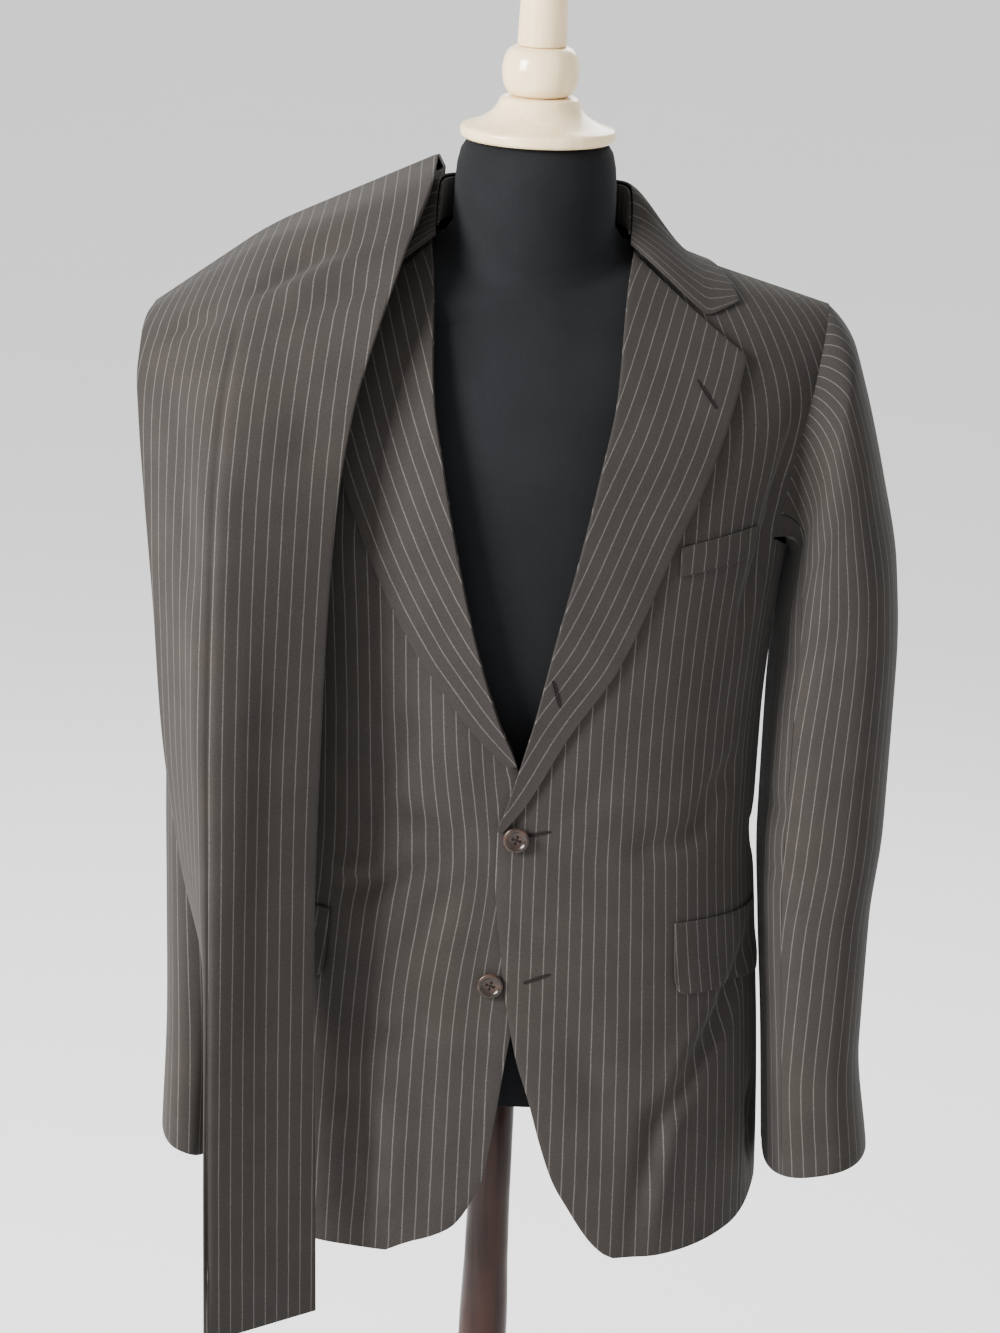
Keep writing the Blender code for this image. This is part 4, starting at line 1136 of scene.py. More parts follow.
class JacketShape:
    """Outer face of the jacket's body: the torso with each side's creases on it."""

    GIRTH = 0.172
    SHOULDER = 0.17
    SHOULDER_LEAN = 0.055
    STRENGTH = 2.2

    def __init__(self) -> None:
        """Places the creases, each with its own size."""
        self.chest_girth = self.girth_curve(CHEST_Z)
        sides = (
            Fold(on_side((0.186, 0.900), (0.170, 0.836), (0.150, 0.805), (0.124, 0.752), (0.110, 0.655)),
                 -0.0042, 0.011, 0.22),
            Fold(on_side((0.160, 0.845), (0.137, 0.785), (0.124, 0.715), (0.124, 0.655)), 0.0026, 0.013,
                 0.30),
        )
        self.folds = {
            "left": sides + (
                Fold(on_side((0.018, 0.975), (0.050, 0.962), (0.088, 0.958)), -0.0014, 0.008, 0.35),
                Fold(on_side((0.020, 0.990), (0.048, 1.002), (0.080, 1.020)), -0.0012, 0.009, 0.35),
                Fold(on_side((0.160, 0.990), (0.120, 0.975), (0.080, 0.970)), -0.0020, 0.010),
                Fold(on_side((0.172, 1.040), (0.150, 1.010), (0.135, 0.975)), -0.0022, 0.012),
                Fold(on_side((0.185, 1.240), (0.176, 1.190), (0.160, 1.130)), -0.0030, 0.012),
                Fold(on_side((0.195, 1.300), (0.186, 1.250), (0.180, 1.215)), -0.0022, 0.010),
                Fold(on_side((0.040, 0.860), (0.070, 0.800), (0.085, 0.730)), -0.0014, 0.014),
                Fold(((0.235, 0.980), (0.262, 0.955), (0.300, 0.950)), -0.0026, 0.011),
                Fold(((0.220, 0.780), (0.230, 0.730), (0.226, 0.690)), -0.0034, 0.014, 0.4),
            ),
            "right": (
                Fold(on_side((0.016, 0.978), (0.045, 0.984), (0.085, 1.000)), -0.0024, 0.008, 0.35),
                Fold(on_side((0.022, 0.968), (0.052, 0.955), (0.096, 0.934), (0.130, 0.934)), -0.0028, 0.008,
                     0.35),
                Fold(on_side((0.024, 0.958), (0.050, 0.920), (0.072, 0.878)), -0.0016, 0.010),
                Fold(on_side((0.094, 0.946), (0.126, 0.945)), 0.0016, 0.007),
                Fold(on_side((0.046, 0.830), (0.072, 0.823), (0.096, 0.827)), -0.0015, 0.007),
                Fold(on_side((0.060, 1.080), (0.080, 1.040), (0.088, 1.000)), -0.0016, 0.012),
                Fold(on_side((0.110, 0.800), (0.100, 0.730), (0.104, 0.660)), -0.0032, 0.014, 0.3),
                Fold(on_side((0.080, 0.790), (0.070, 0.730), (0.078, 0.670)), 0.0018, 0.013, 0.3),
                Fold(((0.230, 0.990), (0.258, 0.965), (0.296, 0.956)), -0.0028, 0.012),
                Fold(((0.214, 0.800), (0.224, 0.745), (0.228, 0.690)), -0.0030, 0.013, 0.4),
            ),
        }
        backs = (
            Fold(((0.330, 1.120), (0.352, 1.075), (0.362, 1.020)), -0.0030, 0.014),
            Fold(((0.400, 1.010), (0.450, 0.985), (0.500, 0.978)), -0.0026, 0.011),
            Fold(((0.380, 0.965), (0.432, 0.952), (0.485, 0.948)), -0.0020, 0.010),
            Fold(((0.405, 0.900), (0.398, 0.800), (0.408, 0.692)), -0.0038, 0.018, 0.4),
            Fold(((0.462, 0.860), (0.470, 0.770), (0.464, 0.692)), -0.0030, 0.016, 0.4),
            Fold(((0.345, 1.245), (0.360, 1.200), (0.368, 1.150)), -0.0034, 0.013),
            Fold(((0.430, 1.275), (0.465, 1.262), (0.510, 1.258)), -0.0018, 0.012),
        )
        self.folds["left"] += backs
        self.folds["right"] += tuple(
            Fold(tuple((u + 0.006, v - 0.012) for u, v in fold.path), fold.depth * 0.85, fold.width * 1.1,
                 fold.fade)
            for fold in backs
        )

    @staticmethod
    def girth_curve(z: float) -> Curve:
        """Distance round the torso from the centre front, against the angle in degrees.

        Args:
            z: Height.

        Returns:
            Distance round, by angle in degrees.
        """
        total, keys, values = 0.0, [0.0], [0.0]
        before = JACKET_TORSO.point(0.0, z)
        for degrees in range(1, 181):
            after = JACKET_TORSO.point(math.radians(degrees), z)
            total += math.dist(before, after)
            keys.append(float(degrees))
            values.append(total)
            before = after
        return Curve(keys[::3], values[::3])

    @staticmethod
    def spot(angle: float, v: float) -> tuple[float, float]:
        """Fold coordinates of a place on the torso: round the body, and up."""
        height = v if v <= CHEST_Z else CHEST_Z + JacketShape.SHOULDER * (v - CHEST_Z)
        return JacketShape.GIRTH * angle, height

    def point(self, side: str, angle: float, v: float, out: float = 0.0) -> Triple:
        """Point of the jacket's outer face on a side, moved out by a distance."""
        raised = self.STRENGTH * relief(self.folds[side], *self.spot(angle, v))
        return JACKET_TORSO.off(angle, v, out + raised)

    def on_front(self, side: str, x: float, z: float, out: float = 0.0) -> Triple:
        """Point of a front at a distance from the centre and a height."""
        v = JACKET_TORSO.level(z, x)
        return self.point(side, JACKET_TORSO.angle_at(x, v), v, out)

    def across(self, side: str, angle: float, v: float) -> float:
        """How far across the cloth's grain a place lies.

        Args:
            side: The wearer's left or right.
            angle: Angle from the centre front.
            v: Level.

        Returns:
            Distance across the grain, in metres.
        """
        u = math.copysign(self.chest_girth(math.degrees(abs(angle))), angle)
        if v > CHEST_Z:
            lift = (v - CHEST_Z) ** 1.3
            x = math.copysign(JACKET_TORSO.point(abs(angle), v)[0], angle)
            from_centre = x if angle < 0.5 * math.pi else self.chest_girth(180.0) - x
            lean = self.SHOULDER_LEAN * (1.0 if angle < 0.5 * math.pi else -0.2)
            u += (from_centre + lean - u) * lift
        elif side == "right" and abs(angle) < 1.2:
            x = JACKET_TORSO.point(abs(angle), v)[0]
            u += 0.013 * math.exp(-((v - 0.955) / 0.075) ** 2) * math.exp(-((x - 0.02) / 0.075) ** 2)
        return u


CHEST_SHARE = 11.0 / 19.0


@dataclass(eq=False)
class JacketBody:
    """Fronts, side bodies and backs of the jacket."""

    wool: bpy.types.Material
    shape: JacketShape
    seam_turn: float = 0.0008
    shoulder_gap: float = 0.0040
    back_neck_y: float = 0.0530
    centre_gap: float = -0.0020
    under_tuck: float = WALL + LAY + 0.0004
    columns: int = 60
    rows: int = 152

    @staticmethod
    def low_share(t: float) -> float:
        """Share of the height up to the chest, with the rows closer together at the hem."""
        return (t / CHEST_SHARE) ** 1.5

    def panel_level(self, t: float, low: float) -> float:
        """Level of a panel's row.

        Args:
            t: Share along.
            low: Level of its hem.

        Returns:
            The level.
        """
        if t <= CHEST_SHARE:
            return low + (CHEST_Z - low) * self.low_share(t)
        return CHEST_Z + (t - CHEST_SHARE) / (1.0 - CHEST_SHARE)

    @staticmethod
    @lru_cache(maxsize=None)
    def edge_x(edge: Curve, v: float, x: float) -> float:
        """Distance from the centre of an edge curve at a level above the chest.

        Args:
            edge: Edge curve.
            v: Level.
            x: First guess of the distance.

        Returns:
            The distance.
        """
        for _ in range(12):
            x = edge(JACKET_TORSO.point(JACKET_TORSO.angle_at(x, v), v)[2])
        return x

    def front_spot(self, s: float, t: float, edge: Curve) -> tuple[float, float]:
        """Angle and level of a place on a front: s from its edge, t from the hem.

        Args:
            s: Share across.
            t: Share along.
            edge: Edge curve.

        Returns:
            Its angle and level.
        """
        v = self.panel_level(t, HEM(0.0))
        if v <= CHEST_Z:
            start, end = JACKET_TORSO.angle_at(edge(v), v), SIDE_FRONT
        else:
            start = JACKET_TORSO.angle_at(self.edge_x(edge, v, 0.07), v)
            end = min(JACKET_TORSO.angle_at(self.edge_x(ARMHOLE, v, 0.2), v), SIDE_FRONT + math.radians(8.0))
        angle = start + (end - self.seam_turn - start) * s
        low = HEM(math.degrees(abs(angle)))
        return angle, min(self.panel_level(t, low), CHEST_Z + 1.0 - self.shoulder_gap)

    def front_place(self, side: str) -> tuple[Place, Grain]:
        """Placing and grain of one front.

        Args:
            side: The wearer's left or right.

        Returns:
            Its placing and its grain.
        """
        edge, tuck = (FRONT_EDGE, 0.0) if side == "left" else (UNDER_EDGE, self.under_tuck)

        def place(s: float, t: float) -> Triple:
            """Point of the panel."""
            angle, v = self.front_spot(s, t, edge)
            x = JACKET_TORSO.point(angle, v)[0]
            depth = tuck * (1.0 - ease((x - 0.010) / 0.030)) if v < CHEST_Z else 0.0
            return self.shape.point(side, angle, v, -depth)

        def grain(s: float, t: float) -> tuple[float, float]:
            """Its place across and along the cloth."""
            angle, v = self.front_spot(s, t, edge)
            return self.shape.across(side, angle, v), self.shape.spot(angle, v)[1]
        return place, grain

    def side_place(self, side: str) -> tuple[Place, Grain]:
        """Placing and grain of one side body.

        Args:
            side: The wearer's left or right.

        Returns:
            Its placing and its grain.
        """
        def spot(s: float, t: float) -> tuple[float, float]:
            """Angle and level of a place on the panel."""
            angle = SIDE_FRONT + (SIDE_BACK - SIDE_FRONT) * s
            low = HEM(math.degrees(angle))
            top = CHEST_Z + 0.001 - 0.015 * math.sin(math.pi * s)
            return angle, low + (top - low) * self.low_share(t * CHEST_SHARE)

        def place(s: float, t: float) -> Triple:
            """Point of the panel."""
            return self.shape.point(side, *spot(s, t))

        def grain(s: float, t: float) -> tuple[float, float]:
            """Its place across and along the cloth."""
            angle, v = spot(s, t)
            return self.shape.across(side, angle, v) + 0.0031, v
        return place, grain

    @lru_cache(maxsize=None)
    def neckline_level(self, x: float) -> float:
        """Level of the back's neckline at a distance from the centre."""
        depth = self.back_neck_y * math.sqrt(max(1.0 - (x / NECK_X) ** 2, 0.0))
        return JACKET_TORSO.level_at_depth(x, depth)

    def back_place(self, side: str) -> tuple[Place, Grain]:
        """Placing and grain of one half of the back.

        Args:
            side: The wearer's left or right.

        Returns:
            Its placing and its grain.
        """
        def spot(s: float, t: float) -> tuple[float, float]:
            """Angle and level of a place on the panel."""
            v = self.panel_level(t, HEM(180.0))
            outer = SIDE_BACK
            if v > CHEST_Z:
                hole = JACKET_TORSO.angle_at(self.edge_x(ARMHOLE, v, 0.2), v)
                outer = math.pi - min(hole, math.pi - SIDE_BACK + math.radians(6.0))
            outer += self.seam_turn
            centre = math.pi - self.centre_gap
            angle = centre + (outer - centre) * (1.0 - s)
            top = CHEST_Z + 1.0 - self.shoulder_gap
            reach = JACKET_TORSO.point(angle, top)[0]
            if reach < NECK_X:
                top = min(top, self.neckline_level(round(max(reach, 0.0005), 6)))
            low = HEM(math.degrees(angle))
            if t <= CHEST_SHARE:
                return angle, low + (CHEST_Z - low) * self.low_share(t)
            return angle, CHEST_Z + (top - CHEST_Z) * (t - CHEST_SHARE) / (1.0 - CHEST_SHARE)

        def place(s: float, t: float) -> Triple:
            """Point of the panel."""
            return self.shape.point(side, *spot(s, t))

        def grain(s: float, t: float) -> tuple[float, float]:
            """Its place across and along the cloth."""
            angle, v = spot(s, t)
            return self.shape.across(side, angle, v) - 0.0024, self.shape.spot(angle, v)[1]
        return place, grain

    def build(self) -> None:
        """Builds the six panels."""
        for side, mirrored in (("left", False), ("right", True)):
            place, grain = self.front_place(side)
            Cloth(f"front_{side}", place, self.columns, self.rows, self.wool, (0.27, 0.74), 0.140,
                  grain=grain, mirrored=mirrored).build()
            place, grain = self.side_place(side)
            Cloth(f"side_body_{side}", place, 28, 96, self.wool, (0.14, 0.51), 0.063, grain=grain,
                  mirrored=mirrored).build()
            place, grain = self.back_place(side)
            Cloth(f"back_{side}", place, 40, 130, self.wool, (0.24, 0.76), 0.146, grain=grain,
                  mirrored=mirrored).build()


GORGE = (0.0700, 1.3960)
NOTCH = (0.1275, 1.3580)
LAPEL_CORNER = (0.1540, 1.3340)
COLLAR_TIP = (0.1500, 1.3660)
COLLAR = curves(("roll_x", "roll_y", "stand", "fall_x", "fall_y"), (
    (0.0700, -0.0320, 0.005, 0.1500, -0.0370), (0.0710, -0.0160, 0.018, 0.1380, -0.0140),
    (0.0700, 0.0000, 0.031, 0.1240, 0.0060), (0.0630, 0.0240, 0.038, 0.0990, 0.0360),
    (0.0440, 0.0420, 0.042, 0.0650, 0.0570), (0.0000, 0.0520, 0.043, 0.0000, 0.0680),
), by_row=True)


@dataclass(eq=False)
class LapelsAndCollar:
    """Notch lapels folded out over the fronts, and the collar's fall and stand."""

    wool: bpy.types.Material
    shape: JacketShape
    lay: float = 0.0016
    swell: float = 0.0040
    left_low: float = 0.9855
    right_low: float = 1.037
    collar_lay: float = WALL + LAY + 0.0008
    notch_share: float = 0.72
    stand_inset: float = 0.0027
    stand_foot_z: float = 1.4100
    stand_start: float = 0.12

    def lapel_place(self, side: str) -> Place:
        """Placing of one lapel: s from the roll to the free edge, t from the bottom to the gorge.

        Args:
            side: The wearer's left or right.

        Returns:
            The placing.
        """
        roll, free, low = (
            (FRONT_EDGE, LAPEL_EDGE, self.left_low) if side == "left"
            else (UNDER_EDGE, UNDER_LAPEL_EDGE, self.right_low)
        )

        def place(s: float, t: float) -> Triple:
            """Point of the lapel."""
            roll_z = low + (GORGE[1] - low) * t
            free_z = low + (LAPEL_CORNER[1] - low) * t
            roll_x, free_x = roll(roll_z), free(free_z)
            x, z = roll_x + (free_x - roll_x) * s, roll_z + (free_z - roll_z) * s
            swell = self.swell * math.sin(math.pi * clamp(t)) ** 0.7 * (1.0 - s) ** 1.5
            lift = 0.0012 * ease((t - 0.55) / 0.35) * ease((s - 0.5) / 0.5)
            v = JACKET_TORSO.level(z, x)
            return JACKET_TORSO.off(JACKET_TORSO.angle_at(x, v), v, WALL + self.lay + swell + lift)
        return place

    @staticmethod
    def row(position: float) -> dict[str, float]:
        """Collar sizes at 0, the gorge, to 1, the centre back."""
        return {name: curve(position * 5.0) for name, curve in COLLAR.items()}

    def collar_place(self, s: float, c: float) -> Triple:
        """Placing of the fall: s from the roll to the free edge, c from gorge to gorge round the back.

        Args:
            s: Share across.
            c: Share round the neck.

        Returns:
            The point.
        """
        side = -1.0 if c > 0.5 else 1.0
        position = 1.0 - abs(2.0 * c - 1.0)
        x, y, z = self.half_collar(round(s, 7), round(position, 7))
        return side * x, y, z

    @lru_cache(maxsize=None)
    def half_collar(self, s: float, position: float) -> Triple:
        """Point of one side's fall.

        Args:
            s: Share across.
            position: 0 at the gorge, 1 at the centre back.

        Returns:
            The point.
        """
        row = self.row(position)
        x = row["roll_x"] + (row["fall_x"] - row["roll_x"]) * s
        y = row["roll_y"] + (row["fall_y"] - row["roll_y"]) * s
        gorge = 1.0 - ease(position / 0.2)
        if gorge > 0.0:
            low_part = s < self.notch_share
            share = s / self.notch_share if low_part else (s - self.notch_share) / (1.0 - self.notch_share)
            a, b = (GORGE, NOTCH) if low_part else (NOTCH, COLLAR_TIP)
            seam_x = a[0] + (b[0] - a[0]) * share
            seam_z = a[1] + (b[1] - a[1]) * share + SEAM
            v = JACKET_TORSO.level(seam_z, seam_x)
            seam = JACKET_TORSO.point(JACKET_TORSO.angle_at(seam_x, v), v)
            x, y = x + (seam[0] - x) * gorge, y + (seam[1] - y) * gorge
        soft = 0.0010 * math.sin(math.pi * clamp(position / 0.9)) * math.sin(math.pi * clamp(s))
        dent = -0.0016 * math.exp(-((position - 0.26 - 0.10 * s) / 0.035) ** 2) * math.sin(math.pi * clamp(s))
        lift = row["stand"] * (1.0 - ease(s / 0.8)) + self.collar_lay + soft + dent
        return JACKET_TORSO.on_shoulder(max(x, 0.0005), y, lift)

    @lru_cache(maxsize=None)
    def roll_top(self, position: float) -> tuple[float, float, float]:
        """Roll point that the stand hangs from."""
        row = self.row(position)
        return JACKET_TORSO.on_shoulder(max(row["roll_x"], 0.0005), row["roll_y"], row["stand"])

    def stand_place(self, s: float, c: float) -> Triple:
        """Placing of the stand: s from its foot up to the roll.

        Args:
            s: Share across.
            c: Share round the neck.

        Returns:
            The point.
        """
        side = -1.0 if c > 0.5 else 1.0
        position = self.stand_start + (1.0 - self.stand_start) * (1.0 - abs(2.0 * c - 1.0))
        x, y, top = self.roll_top(round(position, 7))
        inset = 1.0 - self.stand_inset / math.hypot(x, y)
        return side * x * inset, y * inset, top + (self.stand_foot_z - top) * (1.0 - s)

    def build(self) -> None:
        """Builds both lapels, the fall and the stand."""
        Cloth("lapel_left", self.lapel_place("left"), 32, 120, self.wool, (0.10, 0.46), 0.024, anchor=1.0,
              held=Held.FOLDED, rests_on=("front_left",), shift=0.0040, rounding=0.0006).build()
        Cloth("lapel_right", self.lapel_place("right"), 32, 110, self.wool, (0.10, 0.40), 0.0227, anchor=1.0,
              held=Held.FOLDED, rests_on=("front_right",), shift=0.0040, mirrored=True,
              rounding=0.0006).build()
        fall = Cloth("collar_fall", self.collar_place, 20, 120, self.wool, (0.08, 0.45), 0.0253,
                     held=Held.FOLDED, rests_on=("collar_stand",), rounding=0.0006)
        fall.grain = self.crosswise(fall)
        fall.build()
        stand = Cloth("collar_stand", self.stand_place, 4, 120, self.wool, (0.03, 0.30), 0.006,
                      held=Held.FOLDED)
        stand.grain = self.crosswise(stand)
        stand.build()

    def crosswise(self, piece: Cloth) -> Grain:
        """Grain of a collar piece: the stripes run from the roll to the free edge.

        Args:
            piece: Panel of the collar.

        Returns:
            The grain.
        """
        middle = [piece.place(0.6, j / piece.rows) for j in range(piece.rows + 1)]
        along = [0.0]
        for a, b in zip(middle, middle[1:]):
            along.append(along[-1] + math.dist(a, b))
        centre = along[piece.rows // 2]

        def grain(s: float, t: float) -> tuple[float, float]:
            """Its place across and along the cloth."""
            return along[round(t * piece.rows)] - centre, 0.07 * s
        return grain



# --- sleeves
SLEEVE_ROWS = (
    (0.2225, 1.3600, 0.2040, 1.1920, 0.0640, 0.000), (0.2350, 1.3420, 0.2020, 1.1800, 0.0720, -0.001),
    (0.2475, 1.3060, 0.1990, 1.1640, 0.0780, -0.003), (0.2640, 1.2450, 0.1960, 1.1400, 0.0810, -0.005),
    (0.2790, 1.1750, 0.1945, 1.1050, 0.0820, -0.007), (0.2840, 1.1000, 0.1925, 1.0600, 0.0810, -0.009),
    (0.2835, 0.9800, 0.1920, 0.9600, 0.0770, -0.012), (0.2780, 0.9000, 0.1965, 0.8850, 0.0740, -0.014),
    (0.2775, 0.8050, 0.2040, 0.7950, 0.0700, -0.016), (0.2890, 0.7160, 0.2100, 0.7000, 0.0660, -0.017),
)
SLEEVE = curves(("outer_x", "outer_z", "inner_x", "inner_z", "half_depth", "shift_y"), SLEEVE_ROWS,
                by_row=True)
PRESSED = Curve([float(i) for i in range(10)],
                (0.2220, 0.2315, 0.2400, 0.2480, 0.2550, 0.2570, 0.2560, 0.2540, 0.2520, 0.2540))


@dataclass(eq=False)
class Sleeves:
    """Two-part sleeves set into the armholes; the right one is pressed narrow by the trousers."""

    wool: bpy.types.Material
    armhole_low_z: float = 1.1840
    armhole_gap: float = -0.0012
    tip_gap: float = 0.0095
    back_tuck: float = 0.12
    pressed_deeper: float = 0.010
    seam: float = math.radians(0.30)
    start: float = math.radians(-62.0)
    end: float = math.radians(128.0)
    power: float = 0.78

    @lru_cache(maxsize=None)
    def armhole(self, turn: float) -> Triple:
        """Where the sleeve is set in: 0 at the shoulder tip, 90 degrees in front, 180 under the arm.

        Args:
            turn: Turn round the armhole, in radians.

        Returns:
            The point.
        """
        middle, half = 0.5 * (TIP_Z + self.armhole_low_z), 0.5 * (TIP_Z - self.armhole_low_z)
        z = middle + half * math.cos(turn)
        front = math.sin(turn) >= 0.0
        if z > CHEST_Z:
            x = ARMHOLE(z)
            v = min(JACKET_TORSO.level(z, x), CHEST_Z + 1.0 - self.tip_gap)
            angle = JACKET_TORSO.angle_at(x, v)
            x, y, z = JACKET_TORSO.point(angle if front else math.pi - angle, v)
        else:
            share = clamp((CHEST_Z - z) / (CHEST_Z - self.armhole_low_z)) ** 0.5
            edge = SIDE_FRONT if front else SIDE_BACK
            x, y, _ = JACKET_TORSO.point(edge + (math.radians(90.0) - edge) * share, CHEST_Z)
        return x + self.armhole_gap, y, z

    def point(self, turn: float, t: float, pressed: bool) -> Triple:
        """The sleeve at a turn about its length and t from armhole to cuff.

        Args:
            turn: Turn about its length, in radians.
            t: 0 at the armhole, 1 at the cuff.
            pressed: Whether it is the one under the trousers.

        Returns:
            The point.
        """
        at = t * (len(SLEEVE_ROWS) - 1)
        row = {name: curve(at) for name, curve in SLEEVE.items()}
        if pressed:
            row["outer_x"] = PRESSED(at)
            row["half_depth"] += self.pressed_deeper * ease(at / 3.0)
        across = signed_power(math.cos(turn), self.power)
        x = 0.5 * (row["outer_x"] + row["inner_x"]) + 0.5 * (row["outer_x"] - row["inner_x"]) * across
        z = 0.5 * (row["outer_z"] + row["inner_z"]) + 0.5 * (row["outer_z"] - row["inner_z"]) * across
        y = row["shift_y"] - row["half_depth"] * signed_power(math.sin(turn), self.power)
        x -= self.back_tuck * max(y, 0.0) * 0.5 * (1.0 - across)
        setting = ease(at / 1.3)
        return (x, y, z) if setting >= 1.0 else mix(self.armhole(round(turn, 7)), (x, y, z), setting)

    def outward(self, turn: float, t: float, pressed: bool) -> tuple[Triple, Triple]:
        """Point of the sleeve and its outward normal.

        Args:
            turn: Turn about its length, in radians.
            t: 0 at the armhole, 1 at the cuff.
            pressed: Whether it is the one under the trousers.

        Returns:
            The point and the normal.
        """
        d = 0.02
        around = difference(self.point(turn + d, t, pressed), self.point(turn - d, t, pressed))
        down = difference(self.point(turn, t + d, pressed), self.point(turn, t - d, pressed))
        return self.point(turn, t, pressed), unit(cross(around, down))

    @staticmethod
    def folds(piece: str, side: str) -> tuple[Fold, ...]:
        """Creases of a sleeve part: across it from its front seam, and up from the cuff.

        Args:
            piece: Which part of the sleeve.
            side: The wearer's left or right.

        Returns:
            The creases.
        """
        lean = 0.0 if side == "left" else 0.012
        if piece == "top_sleeve":
            return (
                Fold(((0.010, 0.205 + lean), (0.060, 0.196), (0.110, 0.212)), -0.0020, 0.008),
                Fold(((0.020, 0.300), (0.080, 0.284 + lean), (0.130, 0.296)), -0.0026, 0.011),
                Fold(((0.030, 0.345), (0.075, 0.338), (0.120, 0.352)), 0.0016, 0.010),
                Fold(((0.085, 0.250), (0.130, 0.262 - lean), (0.185, 0.255)), -0.0018, 0.009),
                Fold(((0.040, 0.520), (0.030, 0.450), (0.045, 0.395)), -0.0026, 0.013),
                Fold(((0.150, 0.560), (0.165, 0.490), (0.150, 0.420)), -0.0030, 0.014),
                Fold(((0.100, 0.110), (0.105, 0.060), (0.100, 0.004)), -0.0016, 0.013, 0.5),
                Fold(((0.096, 0.600), (0.100, 0.550), (0.092, 0.500)), 0.0014, 0.012),
            )
        return (
            Fold(((0.020, 0.300), (0.070, 0.290 + lean), (0.120, 0.305)), -0.0026, 0.010),
            Fold(((0.030, 0.250), (0.080, 0.242), (0.130, 0.258)), -0.0020, 0.009),
            Fold(((0.050, 0.420), (0.080, 0.380), (0.120, 0.370)), -0.0024, 0.012),
            Fold(((0.070, 0.140), (0.080, 0.080), (0.074, 0.006)), -0.0018, 0.013, 0.5),
        )

    def build(self) -> None:
        """Builds the top and under part of each sleeve."""
        for side, mirrored in (("left", False), ("right", True)):
            for piece, start, end, columns, anchor, cut, area in (
                ("top_sleeve", self.start, self.end, 56, 0.674, (0.24, 0.66), 0.129),
                ("under_sleeve", self.end, self.start + 2.0 * math.pi, 44, 0.694, (0.19, 0.60), 0.099),
            ):
                def place(s: float, t: float, start: float = start, end: float = end,
                          pressed: bool = mirrored) -> Triple:
                    """Point of the panel."""
                    turn = end - self.seam + (start - end + 2.0 * self.seam) * s
                    return self.point(turn, 1.0 - t, pressed)
                Cloth(f"{piece}_{side}", place, columns, 130, self.wool, cut, area, mirrored=mirrored,
                      anchor=anchor, hangs_from=0.72, shift=0.0026, held=Held.HUNG,
                      folds=self.folds(piece, side)).build()


# --- pockets
@dataclass
class Pockets:
    """Hip flaps and the breast welt, lying on the fronts."""

    wool: bpy.types.Material
    shape: JacketShape
    flap_x: float = 0.1270
    flap_end: float = math.radians(79.0)
    flap_top_z: float = 0.9130
    flap_h: float = 0.0560
    corner: float = 0.012
    welt_ends: tuple[tuple[float, float], tuple[float, float]] = ((0.1150, 1.2055), (0.1700, 1.2160))
    welt_h: float = 0.0220

    def flap_spot(self, s: float, t: float) -> tuple[float, float]:
        """Angle and level of a place on a flap.

        Args:
            s: Share across.
            t: Share along.

        Returns:
            Its angle and level.
        """
        start = JACKET_TORSO.angle_at(self.flap_x, self.flap_top_z)
        reach = min(s, 1.0 - s) * 0.155
        inner = max(self.corner - reach, 0.0)
        corner = self.corner - math.sqrt(max(self.corner ** 2 - inner ** 2, 0.0))
        return start + (self.flap_end - start) * s, self.flap_top_z - (self.flap_h - corner) * (1.0 - t)

    def build(self) -> None:
        """Builds the flaps and the welt."""
        for side, mirrored in (("left", False), ("right", True)):
            def place(s: float, t: float, side: str = side) -> Triple:
                """Point of the panel."""
                curl = 0.0012 * (1.0 - ease(t / 0.5)) + 0.0006 * math.sin(9.0 * s) * (1.0 - t)
                return self.shape.point(side, *self.flap_spot(s, t), WALL + LAY + max(curl, 0.0))

            def grain(s: float, t: float, side: str = side) -> tuple[float, float]:
                """Its place across and along the cloth."""
                angle, v = self.flap_spot(s, t)
                return self.shape.across(side, angle, v) + 0.0022 + 0.05 * (v - self.flap_top_z), v
            Cloth(f"pocket_flap_{side}", place, 44, 20, self.wool, (0.10, 0.057), 0.0054, grain=grain,
                  mirrored=mirrored, rests_on=(f"front_{side}",), rounding=0.0006).build()
        (x0, z0), (x1, z1) = self.welt_ends

        def welt(s: float, t: float) -> Triple:
            """Point of the welt."""
            return self.shape.on_front("left", x0 + (x1 - x0) * s,
                                       z0 + (z1 - z0) * s - self.welt_h * (1.0 - t), WALL + LAY)

        def welt_grain(s: float, t: float) -> tuple[float, float]:
            """Its place on the cloth."""
            x = x0 + (x1 - x0) * s
            z = z0 + (z1 - z0) * s - self.welt_h * (1.0 - t)
            v = JACKET_TORSO.level(z, x)
            return self.shape.across("left", JACKET_TORSO.angle_at(x, v), v) + 0.0024, v
        Cloth("breast_welt", welt, 30, 12, self.wool, (0.066, 0.024), 0.0015, grain=welt_grain,
              rests_on=("front_left",), rounding=0.0006).build()


